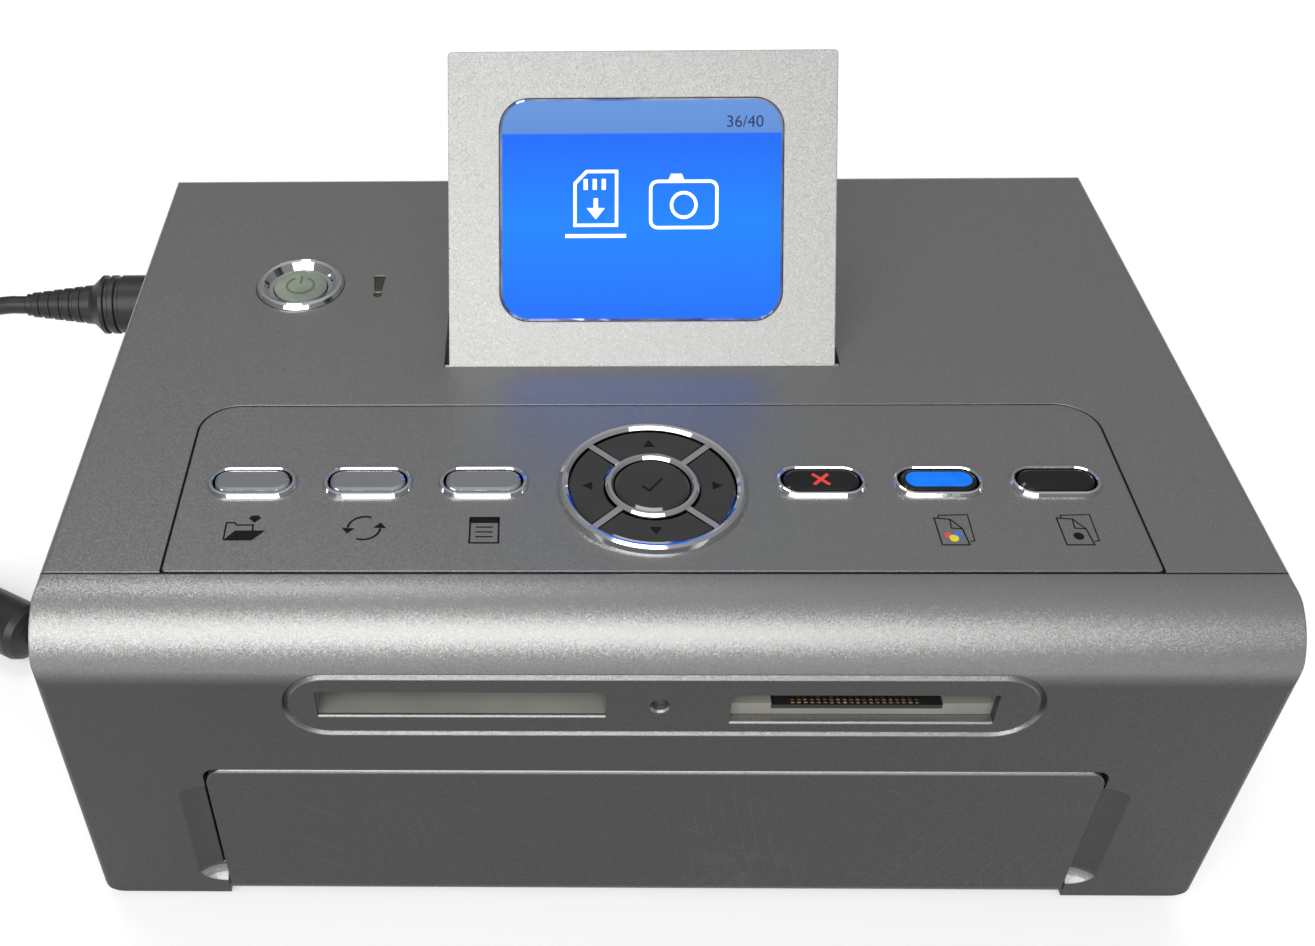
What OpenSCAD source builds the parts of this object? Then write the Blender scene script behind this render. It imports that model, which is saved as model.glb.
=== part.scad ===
// Compact photo printer: tilting display, key panel, two card slots, drop-down paper door.
// Millimetres, +Z up. The origin is on the table under the middle of the body; the front is -Y.

/* [Body] */
// Width of the body
body_w = 202; // [190:1:250]
// Depth of the body
body_d = 139; // [136:1:175]
// Height of the casing without its feet
body_h = 71.9; // [70:0.1:95]
// Thickness of the casing walls
wall = 2.4; // [1.8:0.1:2.8]
// Radius of the rounded nose between the front and the top
nose_r = 13.3; // [10:0.1:16]
// Radius of the top edge at the rear
rear_r = 4; // [3:0.5:6]
// Rounding of the upright corners at the rear
rear_corner_r = 3; // [1:0.5:6]
// Rounding of the long edges beside the top and of the front corners
edge_r = 1.2; // [0.4:0.1:2]
// Rounding of the lower side edges
foot_edge_r = 3.5; // [1:0.5:5]
// Width of the visible seams
seam = 0.4; // [0.2:0.1:0.8]
// How high the feet lift the casing
foot_h = 1.2; // [0.8:0.1:3]
// Diameter of a foot
foot_d = 12; // [8:1:16]
// Height of the base shell's rim at the sides and the rear
base_rim = 6; // [4:0.5:10]

/* [Paper door] */
// Width of the door
door_w = 154; // [140:1:160]
// Height of the door's top edge above the underside of the casing
door_h = 37.1; // [34:0.1:40]
// Thickness of the door
door_t = 2.6; // [2:0.1:3]
// Rounding of the door's upper corners
door_corner_r = 3.6; // [2:0.1:6]
// Rounding of the door's lower corners
door_low_r = 1.4; // [0.5:0.1:2]
// Rounding of the door's top edge
door_edge_r = 0.85; // [0.4:0.05:1.2]
// Radius of the door's round lower edge, whose centre is the pivot
door_pivot_r = 3; // [2.8:0.1:4]
// Radius of the door's pivot pins
door_pin_r = 1.2; // [0.8:0.1:1.4]
// Gap round the door
door_gap = 0.35; // [0.2:0.05:0.6]
// Width of a finger scoop beside the door
scoop_w = 5; // [4:0.5:7]
// Depth of a finger scoop at the door's edge
scoop_depth = 2; // [1.5:0.1:3]

/* [Display] */
// Width of the display panel
lcd_w = 72.9; // [60:0.1:76]
// Length of the display panel from its pivot
lcd_l = 58.9; // [50:0.1:60]
// Thickness of the display panel
lcd_t = 7; // [6:0.1:9]
// Angle of the display above the top
lcd_tilt = 52.1; // [20:0.1:75]
// Radius of the display's round lower front edge, whose centre is the pivot
lcd_pivot_r = 1.1; // [1:0.1:1.6]
// Radius of the display's pivot pins
lcd_pin_r = 0.6; // [0.5:0.05:0.8]
// Gap between the display and its pocket
lcd_gap = 0.85; // [0.4:0.05:1.2]
// Width of the display window
window_w = 53.4; // [40:0.1:56]
// Height of the display window
window_h = 41.7; // [30:0.1:43]
// Rounding of the window's corners
window_r = 5.6; // [3:0.1:8]

/* [Keys] */
// Length of an oval key rim
rim_l = 15.7; // [12:0.1:17]
// Width of an oval key rim
rim_w = 7.9; // [6:0.1:9]
// Wall of an oval key rim
rim_t = 0.95; // [0.6:0.05:1.2]
// How far the keys stand above the panel
key_rise = 1; // [0.5:0.1:1.5]
// Travel of every key
key_travel = 0.8; // [0.4:0.1:0.9]
// Gap between a key and its rim
key_gap = 0.25; // [0.15:0.05:0.4]
// Distance between neighbouring oval keys
key_pitch = 20; // [17:0.5:22]
// Distance from the middle to the nearest oval key
key_start = 29; // [25:0.5:30]
// Radius of the chrome ring round the four-way pad
pad_r = 16.35; // [14:0.05:17]
// Radius of the power key's chrome ring
power_ring_r = 8.9; // [7:0.1:10]

/* [Card slots] */
// Width of the oval groove that frames the card slots
frame_w = 124; // [120:0.5:130]
// Height of that oval
frame_h = 15.1; // [14.5:0.1:16]
// Width of the groove
groove_w = 1.1; // [0.8:0.1:1.4]
// Width of the small card slot
card_w = 47.3; // [40:0.1:48]
// Width of the large card slot
cf_w = 43; // [42.9:0.1:44.5]

/* [Print mechanism] */
// Radius of the platen roller
platen_r = 7; // [6:0.5:8]
// Length of the rubber on the platen roller
platen_l = 106; // [102:1:110]
// Radius of the feed roller
feed_r = 4; // [3:0.5:5]
// Radius of the pinch roller
pinch_r = 3; // [2:0.5:3.5]
// Radius of the pick roller
pick_r = 8; // [7:0.5:9]
// Radius of the steel shafts in their bearings
shaft_r = 2.5; // [2:0.1:3]
// Running clearance round a shaft
run = 0.08; // [0.05:0.01:0.1]
// Module of the drive gears
gear_m = 0.8; // [0.7:0.05:0.9]
// Teeth of the platen gear
platen_teeth = 30; // [28:1:32]
// Teeth of the idler gear
idler_teeth = 32; // [32:1:33]
// Teeth of the feed gear
feed_teeth = 17; // [16:1:18]
// Teeth of the motor pinion
pinion_teeth = 10; // [9:1:12]

/* [Power lead] */
// Diameter of the lead
lead_d = 4; // [3:0.1:4]
// Turns in each layer of the coil
coil_turns = 4; // [3:1:4]

/* [Hidden] */

e = 0.01;
big = 300;
x_side = body_w / 2;
y_front = -body_d / 2;
y_rear = body_d / 2;
z_base = foot_h;
z_top = foot_h + body_h;
z_floor = z_base + wall;
seam_y = y_front + nose_r;
$fn = 64;

silver = [0.52, 0.53, 0.52];
dark = [0.13, 0.13, 0.14];
chrome = [0.85, 0.86, 0.88];
steel = [0.62, 0.63, 0.65];
board_green = [0.10, 0.32, 0.18];
rubber = [0.08, 0.08, 0.08];
ivory = [0.86, 0.85, 0.80];

// Front door pivot, and the edge of the base shell behind it
door_low = z_base - 0.3;
door_axis = [y_front + door_pivot_r, door_low + door_pivot_r];
door_top = z_base + door_h;
base_y = door_axis[0] + door_pivot_r + 0.4;
door_post = 5;

// Key panel
panel_hw = 81;
panel_y0 = seam_y + seam / 2;
panel_y1 = y_front + 56.2;
panel_r = 7;
panel_t = 1.5;
key_y = y_front + 34.9;
pad_y = y_front + 33.6;
power_at = [-68, y_front + 95.1];
alert_at = [-52, y_front + 94.6];
key_xs = [for (s = [-1, 1], i = [0:2]) s > 0 ? key_start + i * key_pitch : -key_start - (2 - i) * key_pitch];
flange_z = z_top - panel_t - 1.7;
flange_t = 0.9;
stem_z = flange_z - 1;
stem_r = 1.5;
plunger_z = stem_z - key_travel - 0.1;
board_top = plunger_z - 4.3;
board_t = 1.6;
pad_ring_in = pad_r - 1.85;
pad_hub_r = 8.05;
pad_key_r = 6.5;
pad_bar_t = 1.2;

// Card slots, measured from the underside; lips are the depths of their lower edges
slot_z = z_base + 54.6;
light_x = 0.2;
groove_depth = 0.8;
card_x = -32.15;
card_z = [z_base + 52, z_base + 58];
card_lip = 0.6;
cf_x = 33.2;
cf_z = [z_base + 50.5, z_base + 57.4];
cf_lip = 1.8;
cf_guide_z = cf_z[0] + 2.7;
cf_bay_z = cf_z[0] + 1.3;
cf_bay_hw = 14;
cf_bay_x = 32.6;
nose_t = 1;
nose_gap = 0.15;
guide_hw = 60;
guide_y = [y_front + wall, y_front + 36];
guide_z = [z_base + 49, cf_z[1] + 1.7];

// Display pocket
lcd_axis = [y_front + 69.1, z_top - lcd_pivot_r];
pocket_hw = lcd_w / 2 + lcd_gap;
pocket_y = [lcd_axis[0] - lcd_pivot_r - 0.2, max(lcd_axis[0] + lcd_l + 2, y_rear - 4.8)];
pocket_depth = sqrt(pow(lcd_t - lcd_pivot_r, 2) + pow(lcd_pivot_r, 2)) + lcd_pivot_r + 0.5;
tub = 1.4;
window_y = lcd_l / 2 - 0.05;
lcd_room = lcd_w / 2 - 5.45;

// Print mechanism
platen_at = [y_front + 81.5, z_base + 28.8];
gap_paper = 0.3;
feed_at = [platen_at[0] + 44, platen_at[1] + platen_r - feed_r];
pinch_at = [feed_at[0], feed_at[1] + feed_r + pinch_r + gap_paper];
pick_at = [y_front + 38.5, z_base + 28.6];
pick_xs = [-30, 30];
pick_tyre_w = 12;
supply_at = [y_front + 57.5, z_base + 46.8];
takeup_at = [y_front + 107.5, z_base + 46.8];
supply_r = 12.6;
takeup_r = 11.6;
cart_x = [-60, 88];
spool_shaft_r = 1.6;
spool_tip_r = 1.2;
plate_x = 63;
plate_t = 1.4;
plate_y = [y_front + 33, feed_at[0] + 6];
plate_top = z_base + 62.2;
plate_low = z_base + 50;
tunnel_hw = 60;
tunnel_t = 1.6;
tunnel_z = [z_floor + 0.3, z_base + 22.6];
tunnel_y = [base_y + 0.3, y_front + 68];
gear_x = -plate_x - plate_t - 0.6;
gear_w = 4;
platen_pitch = gear_m * platen_teeth / 2;
idler_pitch = gear_m * idler_teeth / 2;
feed_pitch = gear_m * feed_teeth / 2;
pinion_pitch = gear_m * pinion_teeth / 2;
idler_at = meet(platen_at, platen_pitch + idler_pitch, feed_at, idler_pitch + feed_pitch, 1);
motor_angle = 142;
motor_at = platen_at + (platen_pitch + pinion_pitch) * [cos(motor_angle), sin(motor_angle)];
motor_r = 10;
motor_l = 16;
motor_flange_r = 16;
motor_post_at = 13.5;
motor_post_l = 1.4;
head_y = [platen_at[0] - 7.5, platen_at[0] + 7.5];
head_z = [platen_at[1] + platen_r + gap_paper, z_base + 56];
head_hw = 54;
head_pin_r = 2;
head_pin_z = head_z[1] - 5.6;

// Ports and the cartridge door
jack_at = [y_front + 119.5, z_base + 50.2];
cart_door_y = [y_front + 42, y_front + 122];
cart_door_z = [z_base + 31, z_base + 61.5];
cart_pivot_r = 2.2;
cart_axis_z = cart_door_z[0] + cart_pivot_r;
rear_slot_hw = 54;
rear_slot_z = [z_base + 34.6, z_base + 41.5];
usb_x = -78;
usb_z = [z_base + 9, z_base + 20.2];
boss_r = 4;
boss_in = 9;
boss_y0 = y_front + 17.2;
boss_at = [for (sx = [-1, 1], y = [boss_y0, y_rear - boss_in]) [sx * (x_side - boss_in), y]];
foot_in = 13;
screw_r = 1.5;
tongue_hw = x_side - boss_in - boss_r - 0.5;

// Point where circles round a and b meet; side picks one of the two
function meet(a, ra, b, rb, side) =
  let (d = norm(b - a), u = (b - a) / d, m = (ra * ra - rb * rb + d * d) / (2 * d),
       h = sqrt(ra * ra - m * m))
  a + m * u + side * h * [-u[1], u[0]];

module span(a, b) {
  translate(a) cube(b - a);
}

// Outline in Y and Z, drawn out along X
module along_x(w, cx = 0) {
  translate([cx - w / 2, 0, 0]) rotate([90, 0, 90]) linear_extrude(w) children();
}

// Outline in X and Z, drawn out along Y from y0
module along_y(d, y0) {
  translate([0, y0 + d, 0]) rotate([90, 0, 0]) linear_extrude(d) children();
}

module rod(r, x0, x1, at) {
  translate([x0, at[0], at[1]]) rotate([0, 90, 0]) cylinder(r = r, h = x1 - x0);
}

// What a rounded corner of radius r takes off a square one; the arc's centre is the origin
module corner_cut(r) {
  difference() {
    square(r + 1);
    circle(r);
  }
}

// Rectangle centred in X and standing on the X axis, with its own radius above and below
module plate_outline(w, h, r_top, r_low) {
  difference() {
    translate([-w / 2, 0]) square([w, h]);
    for (s = [0, 1]) mirror([s, 0]) {
      translate([w / 2 - r_top, h - r_top]) corner_cut(r_top);
      translate([w / 2 - r_low, r_low]) mirror([0, 1]) corner_cut(r_low);
    }
  }
}

module oval(l, w) {
  square([l - w, w], center = true);
  for (s = [-1, 1]) translate([s * (l - w) / 2, 0]) circle(w / 2);
}

// Oval body whose edge section is drawn in radius and height; reach is half its straight part
module oval_body(reach, section) {
  for (s = [0, 1]) mirror([s, 0, 0]) {
    translate([reach, 0, 0]) intersection() {
      rotate_extrude() polygon(section);
      translate([0, -big / 2, -big / 2]) cube(big);
    }
    mirror([0, s, 0]) along_x(2 * reach) polygon(section);
  }
}

// Side view of the casing, t inside its skin
module side_outline(t) {
  difference() {
    translate([y_front + t, z_base + t]) square([body_d - 2 * t, body_h - 2 * t]);
    translate([y_front + nose_r, z_top - nose_r]) mirror([1, 0]) corner_cut(nose_r - t);
    translate([y_rear - rear_r, z_top - rear_r]) corner_cut(rear_r - t);
  }
}

module outer_form() {
  intersection() {
    along_x(body_w + 2) side_outline(0);
    along_y(body_d + 2, y_front - 1)
      translate([0, z_base]) plate_outline(body_w, body_h, edge_r, foot_edge_r);
    translate([0, 0, z_base - 1]) linear_extrude(body_h + 2)
      translate([0, y_front]) plate_outline(body_w, body_d, rear_corner_r, edge_r);
  }
}

module casing_skin() {
  difference() {
    outer_form();
    along_x(body_w - 2 * wall) side_outline(wall);
  }
}

// Bottom tray of the casing with its screw pillars, foot seats and ribs
module base_shell() {
  rim_top = z_base + base_rim;
  color(dark) difference() {
    union() {
      difference() {
        intersection() {
          outer_form();
          span([-big, base_y, z_base - 1], [big, big, rim_top]);
        }
        span([-x_side + wall, base_y - 1, z_floor], [x_side - wall, y_rear - wall, rim_top + 1]);
      }
      for (s = [0, 1]) mirror([s, 0, 0])
        span([x_side - wall - 1.6, seam_y + 1, z_base + 1],
             [x_side - wall - 0.2, y_rear - wall - 0.2, rim_top + 3]);
      span([-x_side + wall + 0.2, y_rear - wall - 1.6, z_base + 1],
           [x_side - wall - 0.2, y_rear - wall - 0.2, rim_top + 3]);
      for (p = boss_at) translate([p[0], p[1], z_base]) cylinder(r = boss_r + 0.5, h = 8);
      for (y = [tunnel_y[1] + 6 : 12 : y_rear - 12])
        span([-tunnel_hw, y, z_floor - e], [tunnel_hw, y + 1.4, z_floor + 3]);
      for (s = [0, 1]) mirror([s, 0, 0]) for (y = [plate_y[0], plate_y[1] - 8])
        span([plate_x + plate_t, y, z_floor - e], [plate_x + plate_t + 2, y + 8, z_floor + 8]);
    }
    for (p = boss_at) translate([p[0], p[1], z_base - e]) {
      cylinder(r = screw_r + 0.2, h = 10);
      cylinder(r = 3.2, h = 3);
    }
    for (p = boss_at) translate([p[0] - sign(p[0]) * foot_in, p[1], z_base - e])
      cylinder(d = foot_d + 0.2, h = 0.8);
    for (x = [-30 : 10 : 30]) translate([x, y_rear - 30, z_base - 1]) linear_extrude(wall + 2)
      rotate(90) oval(16, 3);
  }
}

module rubber_feet() {
  r = foot_d / 2;
  color(rubber) for (p = boss_at) translate([p[0] - sign(p[0]) * foot_in, p[1], 0]) rotate_extrude()
    polygon([[0, 0], [r - 0.6, 0], [r, 0.6], [r, z_base + 0.75], [0, z_base + 0.75]]);
}

module case_screws() {
  color(steel) for (p = boss_at) translate([p[0], p[1], z_base + 0.4]) difference() {
    union() {
      cylinder(r = 2.9, h = 2.5);
      cylinder(r = screw_r, h = 18);
    }
    translate([-1.9, -0.4, -e]) cube([3.8, 0.8, 1.1]);
    translate([-0.4, -1.9, -e]) cube([0.8, 3.8, 1.1]);
  }
}

module panel_outline(grow) {
  translate([0, panel_y0 - grow])
    plate_outline(2 * (panel_hw + grow), panel_y1 - panel_y0 + 2 * grow, panel_r + grow, 0.6);
}

// Top, sides and rear in one moulding, with the display pocket and the seat of the key panel
module top_cover() {
  color(silver) difference() {
    union() {
      intersection() {
        casing_skin();
        span([-big, seam_y + seam / 2, z_base + base_rim + 0.25], [big, big, big]);
      }
      span([-pocket_hw - tub, pocket_y[0] - tub, z_top - pocket_depth - tub],
           [pocket_hw + tub, pocket_y[1] + tub, z_top - wall + e]);
      for (p = boss_at) translate([p[0], p[1], z_base + 8.2])
        cylinder(r = boss_r, h = body_h - 8.2 - wall + e);
      translate([power_at[0], power_at[1], z_top - 7]) cylinder(r = power_ring_r + 1.6, h = 7 - wall + e);
      for (y = [cart_door_y[0] - 5, cart_door_y[1] + 0.35])
        span([x_side - 5, y, cart_axis_z - 2.6], [x_side - 1, y + 4.65, cart_axis_z + 2.6]);
    }
    // display pocket and the bores of its pins
    span([-pocket_hw, pocket_y[0], z_top - pocket_depth], [pocket_hw, pocket_y[1], z_top + 1]);
    rod(lcd_pin_r + 0.01, -pocket_hw - tub - 1, pocket_hw + tub + 1, lcd_axis);
    // key panel: a shallow seat and a well inside it
    translate([0, 0, z_top - panel_t]) linear_extrude(panel_t + 1) panel_outline(seam / 2);
    translate([0, 0, z_top - wall - 1]) linear_extrude(wall + 2) panel_outline(-2);
    // power key, alert lens
    translate([power_at[0], power_at[1], z_top - 2]) cylinder(r = power_ring_r + 0.1, h = 3);
    translate([power_at[0], power_at[1], z_top - 8]) cylinder(r = power_ring_r - 1.2, h = 9);
    translate([0, 0, z_top - wall - 1]) linear_extrude(wall + 2) alert_outline(0.1);
    for (p = boss_at) translate([p[0], p[1], z_base + 8]) cylinder(r = screw_r + 0.02, h = 14);
    // power socket at the left, cartridge bay at the right
    rod(4.2, -x_side - 1, -x_side + wall + 1, jack_at);
    span([x_side - wall - 1, cart_door_y[0] - 0.35, cart_door_z[0] - 0.35],
         [x_side + 1, cart_door_y[1] + 0.35, cart_door_z[1] + 0.35]);
    translate([x_side - cart_pivot_r, cart_door_y[0] - 10, cart_axis_z]) rotate([-90, 0, 0])
      cylinder(r = 1.02, h = cart_door_y[1] - cart_door_y[0] + 20);
    // rear: paper slot, data socket, air slots
    span([-rear_slot_hw, y_rear - wall - 1, rear_slot_z[0]], [rear_slot_hw, y_rear + 1, rear_slot_z[1]]);
    span([usb_x - 6.2, y_rear - wall - 1, usb_z[0]], [usb_x + 6.2, y_rear + 1, usb_z[1]]);
    for (x = [66 : 5 : 86]) along_y(wall + 2, y_rear - wall - 1)
      translate([x, z_base + 28]) rotate(90) oval(26, 2);
    for (x = [-86 : 5 : -66]) along_y(wall + 2, y_rear - wall - 1)
      translate([x, z_base + 46]) rotate(90) oval(18, 2);
  }
}

// One scoop: a bowl that ends in an ellipse below and a cone above; a slot sets it off from the door
module scoop() {
  off = (scoop_w * scoop_w - scoop_depth * scoop_depth) / (2 * scoop_depth);
  r = off + scoop_depth;
  drop = 4.8;
  low = 7.1;
  high = door_h - 6.4 - low;
  edge = door_w / 2 + door_gap;
  translate([edge, y_front - off, z_base + low]) rotate_extrude($fn = 96)
    polygon([[0, -drop], for (a = [9 : 9 : 90]) [r * sin(a), -drop * cos(a)],
             [r, high], [0, high + 1.1 * r]]);
  span([edge - e, y_front + 1, z_base + low], [edge + 0.8, base_y - 1.2, door_top - 5]);
}

// Oval that frames the card slots; the groove's walls slope
module frame_groove() {
  r = frame_h / 2;
  translate([0.5, y_front, slot_z]) rotate([90, 0, 0]) oval_body((frame_w - frame_h) / 2,
    [[r - groove_w, 2], [r - groove_w, 0], [r - groove_w / 2, -groove_depth], [r, 0], [r, 2]]);
}

// Cut for a card slot, with a bevelled lower lip, and the seat behind it of the guide's nose
module slot_cut(x, w, z, lip) {
  seat = nose_t + nose_gap;
  span([x - w / 2, y_front - 1, z[0]], [x + w / 2, y_front + 10, z[1]]);
  span([x - w / 2 - seat, y_front + lip, z[0] - seat], [x + w / 2 + seat, y_front + 10, z[1] + seat]);
  along_x(w, x) polygon([[y_front - 1, z[0] - 1.25], [y_front - 1, z[0] + e], [y_front + 0.25, z[0] + e]]);
}

// Nose and front face, with the mouths of the card slots and the frame of the paper door
module front_fascia() {
  color(silver) difference() {
    union() {
      intersection() {
        casing_skin();
        span([-big, y_front - 1, z_base - 1], [big, seam_y - seam / 2, big]);
      }
      span([-tongue_hw, y_front + 9, z_top - wall - 1.7], [tongue_hw, seam_y + 1.2, z_top - wall - 0.1]);
      along_y(wall, y_front) translate([0.5, slot_z]) oval(frame_w - groove_w, frame_h - groove_w);
      span([-door_w / 2 - 8, y_front + 1, door_top + door_gap],
           [door_w / 2 + 8, base_y + 1, door_top + door_gap + 1.6]);
      for (s = [0, 1]) mirror([s, 0, 0])
        span([door_w / 2 + door_gap, y_front + 1, z_base + 0.6],
             [door_w / 2 + 8, base_y - 0.2, door_top + 1]);
    }
    span([-big, base_y - 0.2, z_base - 1], [big, seam_y + 1, z_base + base_rim + 0.25]);
    along_y(base_y - y_front + 10, y_front - 1) translate([0, z_base - 1])
      plate_outline(door_w + 2 * door_gap, door_h + 1 + door_gap, door_corner_r - 1.4, 0.1);
    for (s = [0, 1]) mirror([s, 0, 0]) scoop();
    frame_groove();
    slot_cut(card_x, card_w, card_z, card_lip);
    slot_cut(cf_x, cf_w, cf_z, cf_lip);
    translate([light_x, y_front - e, slot_z]) rotate([-90, 0, 0]) {
      cylinder(r = 1.35, h = 12);
      cylinder(r1 = 1.7, r2 = 1.35, h = 0.35);
    }
    rod(door_pin_r + 0.02, -door_w / 2 - 5, door_w / 2 + 5, door_axis);
  }
}

module control_panel() {
  color(silver) difference() {
    translate([0, 0, z_top - panel_t]) linear_extrude(panel_t) panel_outline(-seam / 2);
    translate([0, 0, z_top - panel_t - 1]) linear_extrude(panel_t + 2) {
      for (x = key_xs) translate([x, key_y]) oval(rim_l - 0.7, rim_w - 0.7);
      translate([0, pad_y]) circle(pad_r - 0.35, $fn = 96);
    }
  }
}

// How far the chrome rims lap over the panel
lip = 0.36;

// Edge section of a chrome rim: a bevelled lip on the panel and a sleeve through it
function rim_points(r_out, r_in, rise) = [
  [r_in, rise - 0.25], [r_in, -panel_t], [r_out - lip, -panel_t], [r_out - lip, 0],
  [r_out, 0], [r_out, 0.2], [r_out - 0.35, rise - 0.1], [r_out - 0.6, rise], [r_in + 0.2, rise]];

module key_rims() {
  color(chrome) for (x = key_xs) translate([x, key_y, z_top])
    oval_body((rim_l - rim_w) / 2, rim_points(rim_w / 2, rim_w / 2 - rim_t, key_rise - 0.1));
}

// One oval key: crowned cap, flange under the panel, stem down to its switch
module oval_key(x) {
  r = rim_w / 2 - rim_t - key_gap;
  translate([x, key_y, 0]) {
    translate([0, 0, z_top]) oval_body((rim_l - rim_w) / 2,
      [[0, flange_z - z_top], [r, flange_z - z_top], [r, key_rise - 0.7], [r - 0.25, key_rise - 0.25],
       [r - 0.7, key_rise], [0, key_rise]]);
    translate([0, 0, flange_z - flange_t]) linear_extrude(flange_t) oval(rim_l - 1, rim_w - 1);
    translate([0, 0, stem_z]) cylinder(r = stem_r, h = 0.6);
  }
}

module folder_key() { color(chrome) oval_key(key_xs[0]); }
module rotate_key() { color(chrome) oval_key(key_xs[1]); }
module menu_key() { color(chrome) oval_key(key_xs[2]); }
module cancel_key() { color(dark) oval_key(key_xs[3]); }
module colour_copy_key() { color([0, 0.36, 0.8]) oval_key(key_xs[4]); }
module mono_copy_key() { color(dark) oval_key(key_xs[5]); }

// Outer ring, hub ring and four bars at 45 degrees, plated in one piece
module pad_ring() {
  color(chrome) translate([0, pad_y, z_top]) {
    rotate_extrude($fn = 96)
      polygon([[pad_ring_in, 0.9], [pad_ring_in, -panel_t], [pad_r - lip, -panel_t], [pad_r - lip, 0],
               [pad_r, 0], [pad_r, 0.3], [pad_r - 0.35, 1.1], [pad_r - 0.85, 1.5], [pad_r - 1.35, 1.4]]);
    rotate_extrude()
      polygon([[pad_key_r + 0.2, 0.7], [pad_key_r + 0.2, -panel_t], [pad_hub_r, -panel_t],
               [pad_hub_r, 0.8], [pad_hub_r - 0.4, 1.2], [pad_key_r + 0.6, 1.2]]);
    for (a = [45 : 90 : 315]) rotate(a) translate([pad_hub_r - 0.2, -pad_bar_t / 2, -panel_t])
      cube([pad_ring_in - pad_hub_r + 0.4, pad_bar_t, panel_t + 0.7]);
  }
}

// Quarter key of the pad, with a flange that the ring's sleeve holds; a is the way that it faces
module pad_key(a) {
  r0 = pad_hub_r + key_gap;
  r1 = pad_ring_in - key_gap;
  corner = (pad_bar_t / 2 + key_gap) * sqrt(2);
  far = 2 * pad_r;
  low = flange_z - z_top;
  translate([0, pad_y, 0]) rotate(a) {
    intersection() {
      translate([0, 0, z_top]) rotate_extrude($fn = 96)
        polygon([[r0, low - flange_t], [r1 + 0.9, low - flange_t], [r1 + 0.9, low], [r1, low],
                 [r1, 0.5], [r1 - 0.3, 0.75], [r0 + 0.3, 0.55], [r0, 0.3]]);
      linear_extrude(z_top + 5) polygon([[corner, 0], [far, far - corner], [far, corner - far]]);
    }
    translate([(r0 + r1) / 2, 0, stem_z]) cylinder(r = stem_r, h = 0.6);
  }
}

module pad_up_key() { color(dark) pad_key(90); }
module pad_left_key() { color(dark) pad_key(180); }
module pad_down_key() { color(dark) pad_key(270); }
module pad_right_key() { color(dark) pad_key(0); }

module pad_centre_key() {
  low = flange_z - z_top;
  color(dark) translate([0, pad_y, 0]) {
    translate([0, 0, z_top]) rotate_extrude()
      polygon([[0, low - flange_t], [pad_key_r + 0.9, low - flange_t], [pad_key_r + 0.9, low],
               [pad_key_r - 0.05, low], [pad_key_r - 0.05, 0.6], [pad_key_r - 0.5, 1], [0, 1]]);
    translate([0, 0, stem_z]) cylinder(r = stem_r, h = 0.6);
  }
}

module power_ring() {
  color(chrome) translate([power_at[0], power_at[1], z_top]) rotate_extrude()
    polygon([[5.6, -1.9], [power_ring_r, -1.9], [power_ring_r, 0.2], [power_ring_r - 0.4, 0.9],
             [power_ring_r - 1, 1.1], [power_ring_r - 1.6, 0.9], [6.4, -0.5], [5.6, -0.6]]);
}

module power_key() {
  color([0.55, 0.6, 0.53]) translate([power_at[0], power_at[1], z_top]) rotate_extrude()
    polygon([[0, -4.8], [stem_r, -4.8], [stem_r, -4], [6.6, -4], [6.6, -2.4], [5.35, -2.4],
             [5.35, -0.2], [4.9, 0.1], [0, 0.25]]);
}

// Round board under the power key's tower, with a flat switch
module power_switch_board() {
  translate([power_at[0], power_at[1], z_top]) {
    color(board_green) translate([0, 0, -8.6]) cylinder(r = power_ring_r + 1.2, h = 1.5);
    color(dark) {
      translate([-3, -3, -7.11]) cube([6, 6, 0.9]);
      translate([0, 0, -7.1]) cylinder(r = 1.6, h = 1.4);
    }
  }
}

// Tapered bar and a dot below it
module alert_outline(grow) {
  translate(alert_at) {
    polygon([[-0.6 - grow, -1.4 - grow], [0.6 + grow, -1.4 - grow],
             [1.1 + grow, 3.8 + grow], [-1.1 - grow, 3.8 + grow]]);
    translate([0, -2.9]) circle(0.75 + grow);
  }
}

module alert_lens() {
  color([0.15, 0.13, 0.1]) {
    translate([0, 0, z_top - wall - 0.5]) linear_extrude(wall + 0.3) alert_outline(0);
    translate([alert_at[0] - 2.5, alert_at[1] - 5, z_top - wall - 1.3]) cube([5, 10, 1.2]);
  }
}

module status_light() {
  color(ivory) translate([light_x, y_front + 1.3, slot_z]) rotate([-90, 0, 0])
    cylinder(r = 1.2, h = wall - 1.35);
}

// Board under the keys, with a switch under each stem
module key_board() {
  color(board_green) {
    span([-panel_hw + 4, seam_y + 3, board_top - board_t], [panel_hw - 4, panel_y1 - 3, board_top]);
    for (s = [0, 1]) mirror([s, 0, 0]) for (y = [seam_y + 5, panel_y1 - 5])
      translate([panel_hw - 6, y, board_top - e]) cylinder(r = 1.8, h = z_top - panel_t - board_top - 0.1);
  }
  color(dark) {
    for (x = key_xs) tact_switch([x, key_y]);
    tact_switch([0, pad_y]);
    for (a = [0 : 90 : 270]) tact_switch([0, pad_y] + 11.275 * [cos(a), sin(a)]);
  }
}

module tact_switch(at) {
  translate([at[0], at[1], board_top - e]) {
    translate([-3, -3, 0]) cube([6, 6, 3.4]);
    cylinder(r = 1.6, h = plunger_z - board_top);
  }
}

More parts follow.
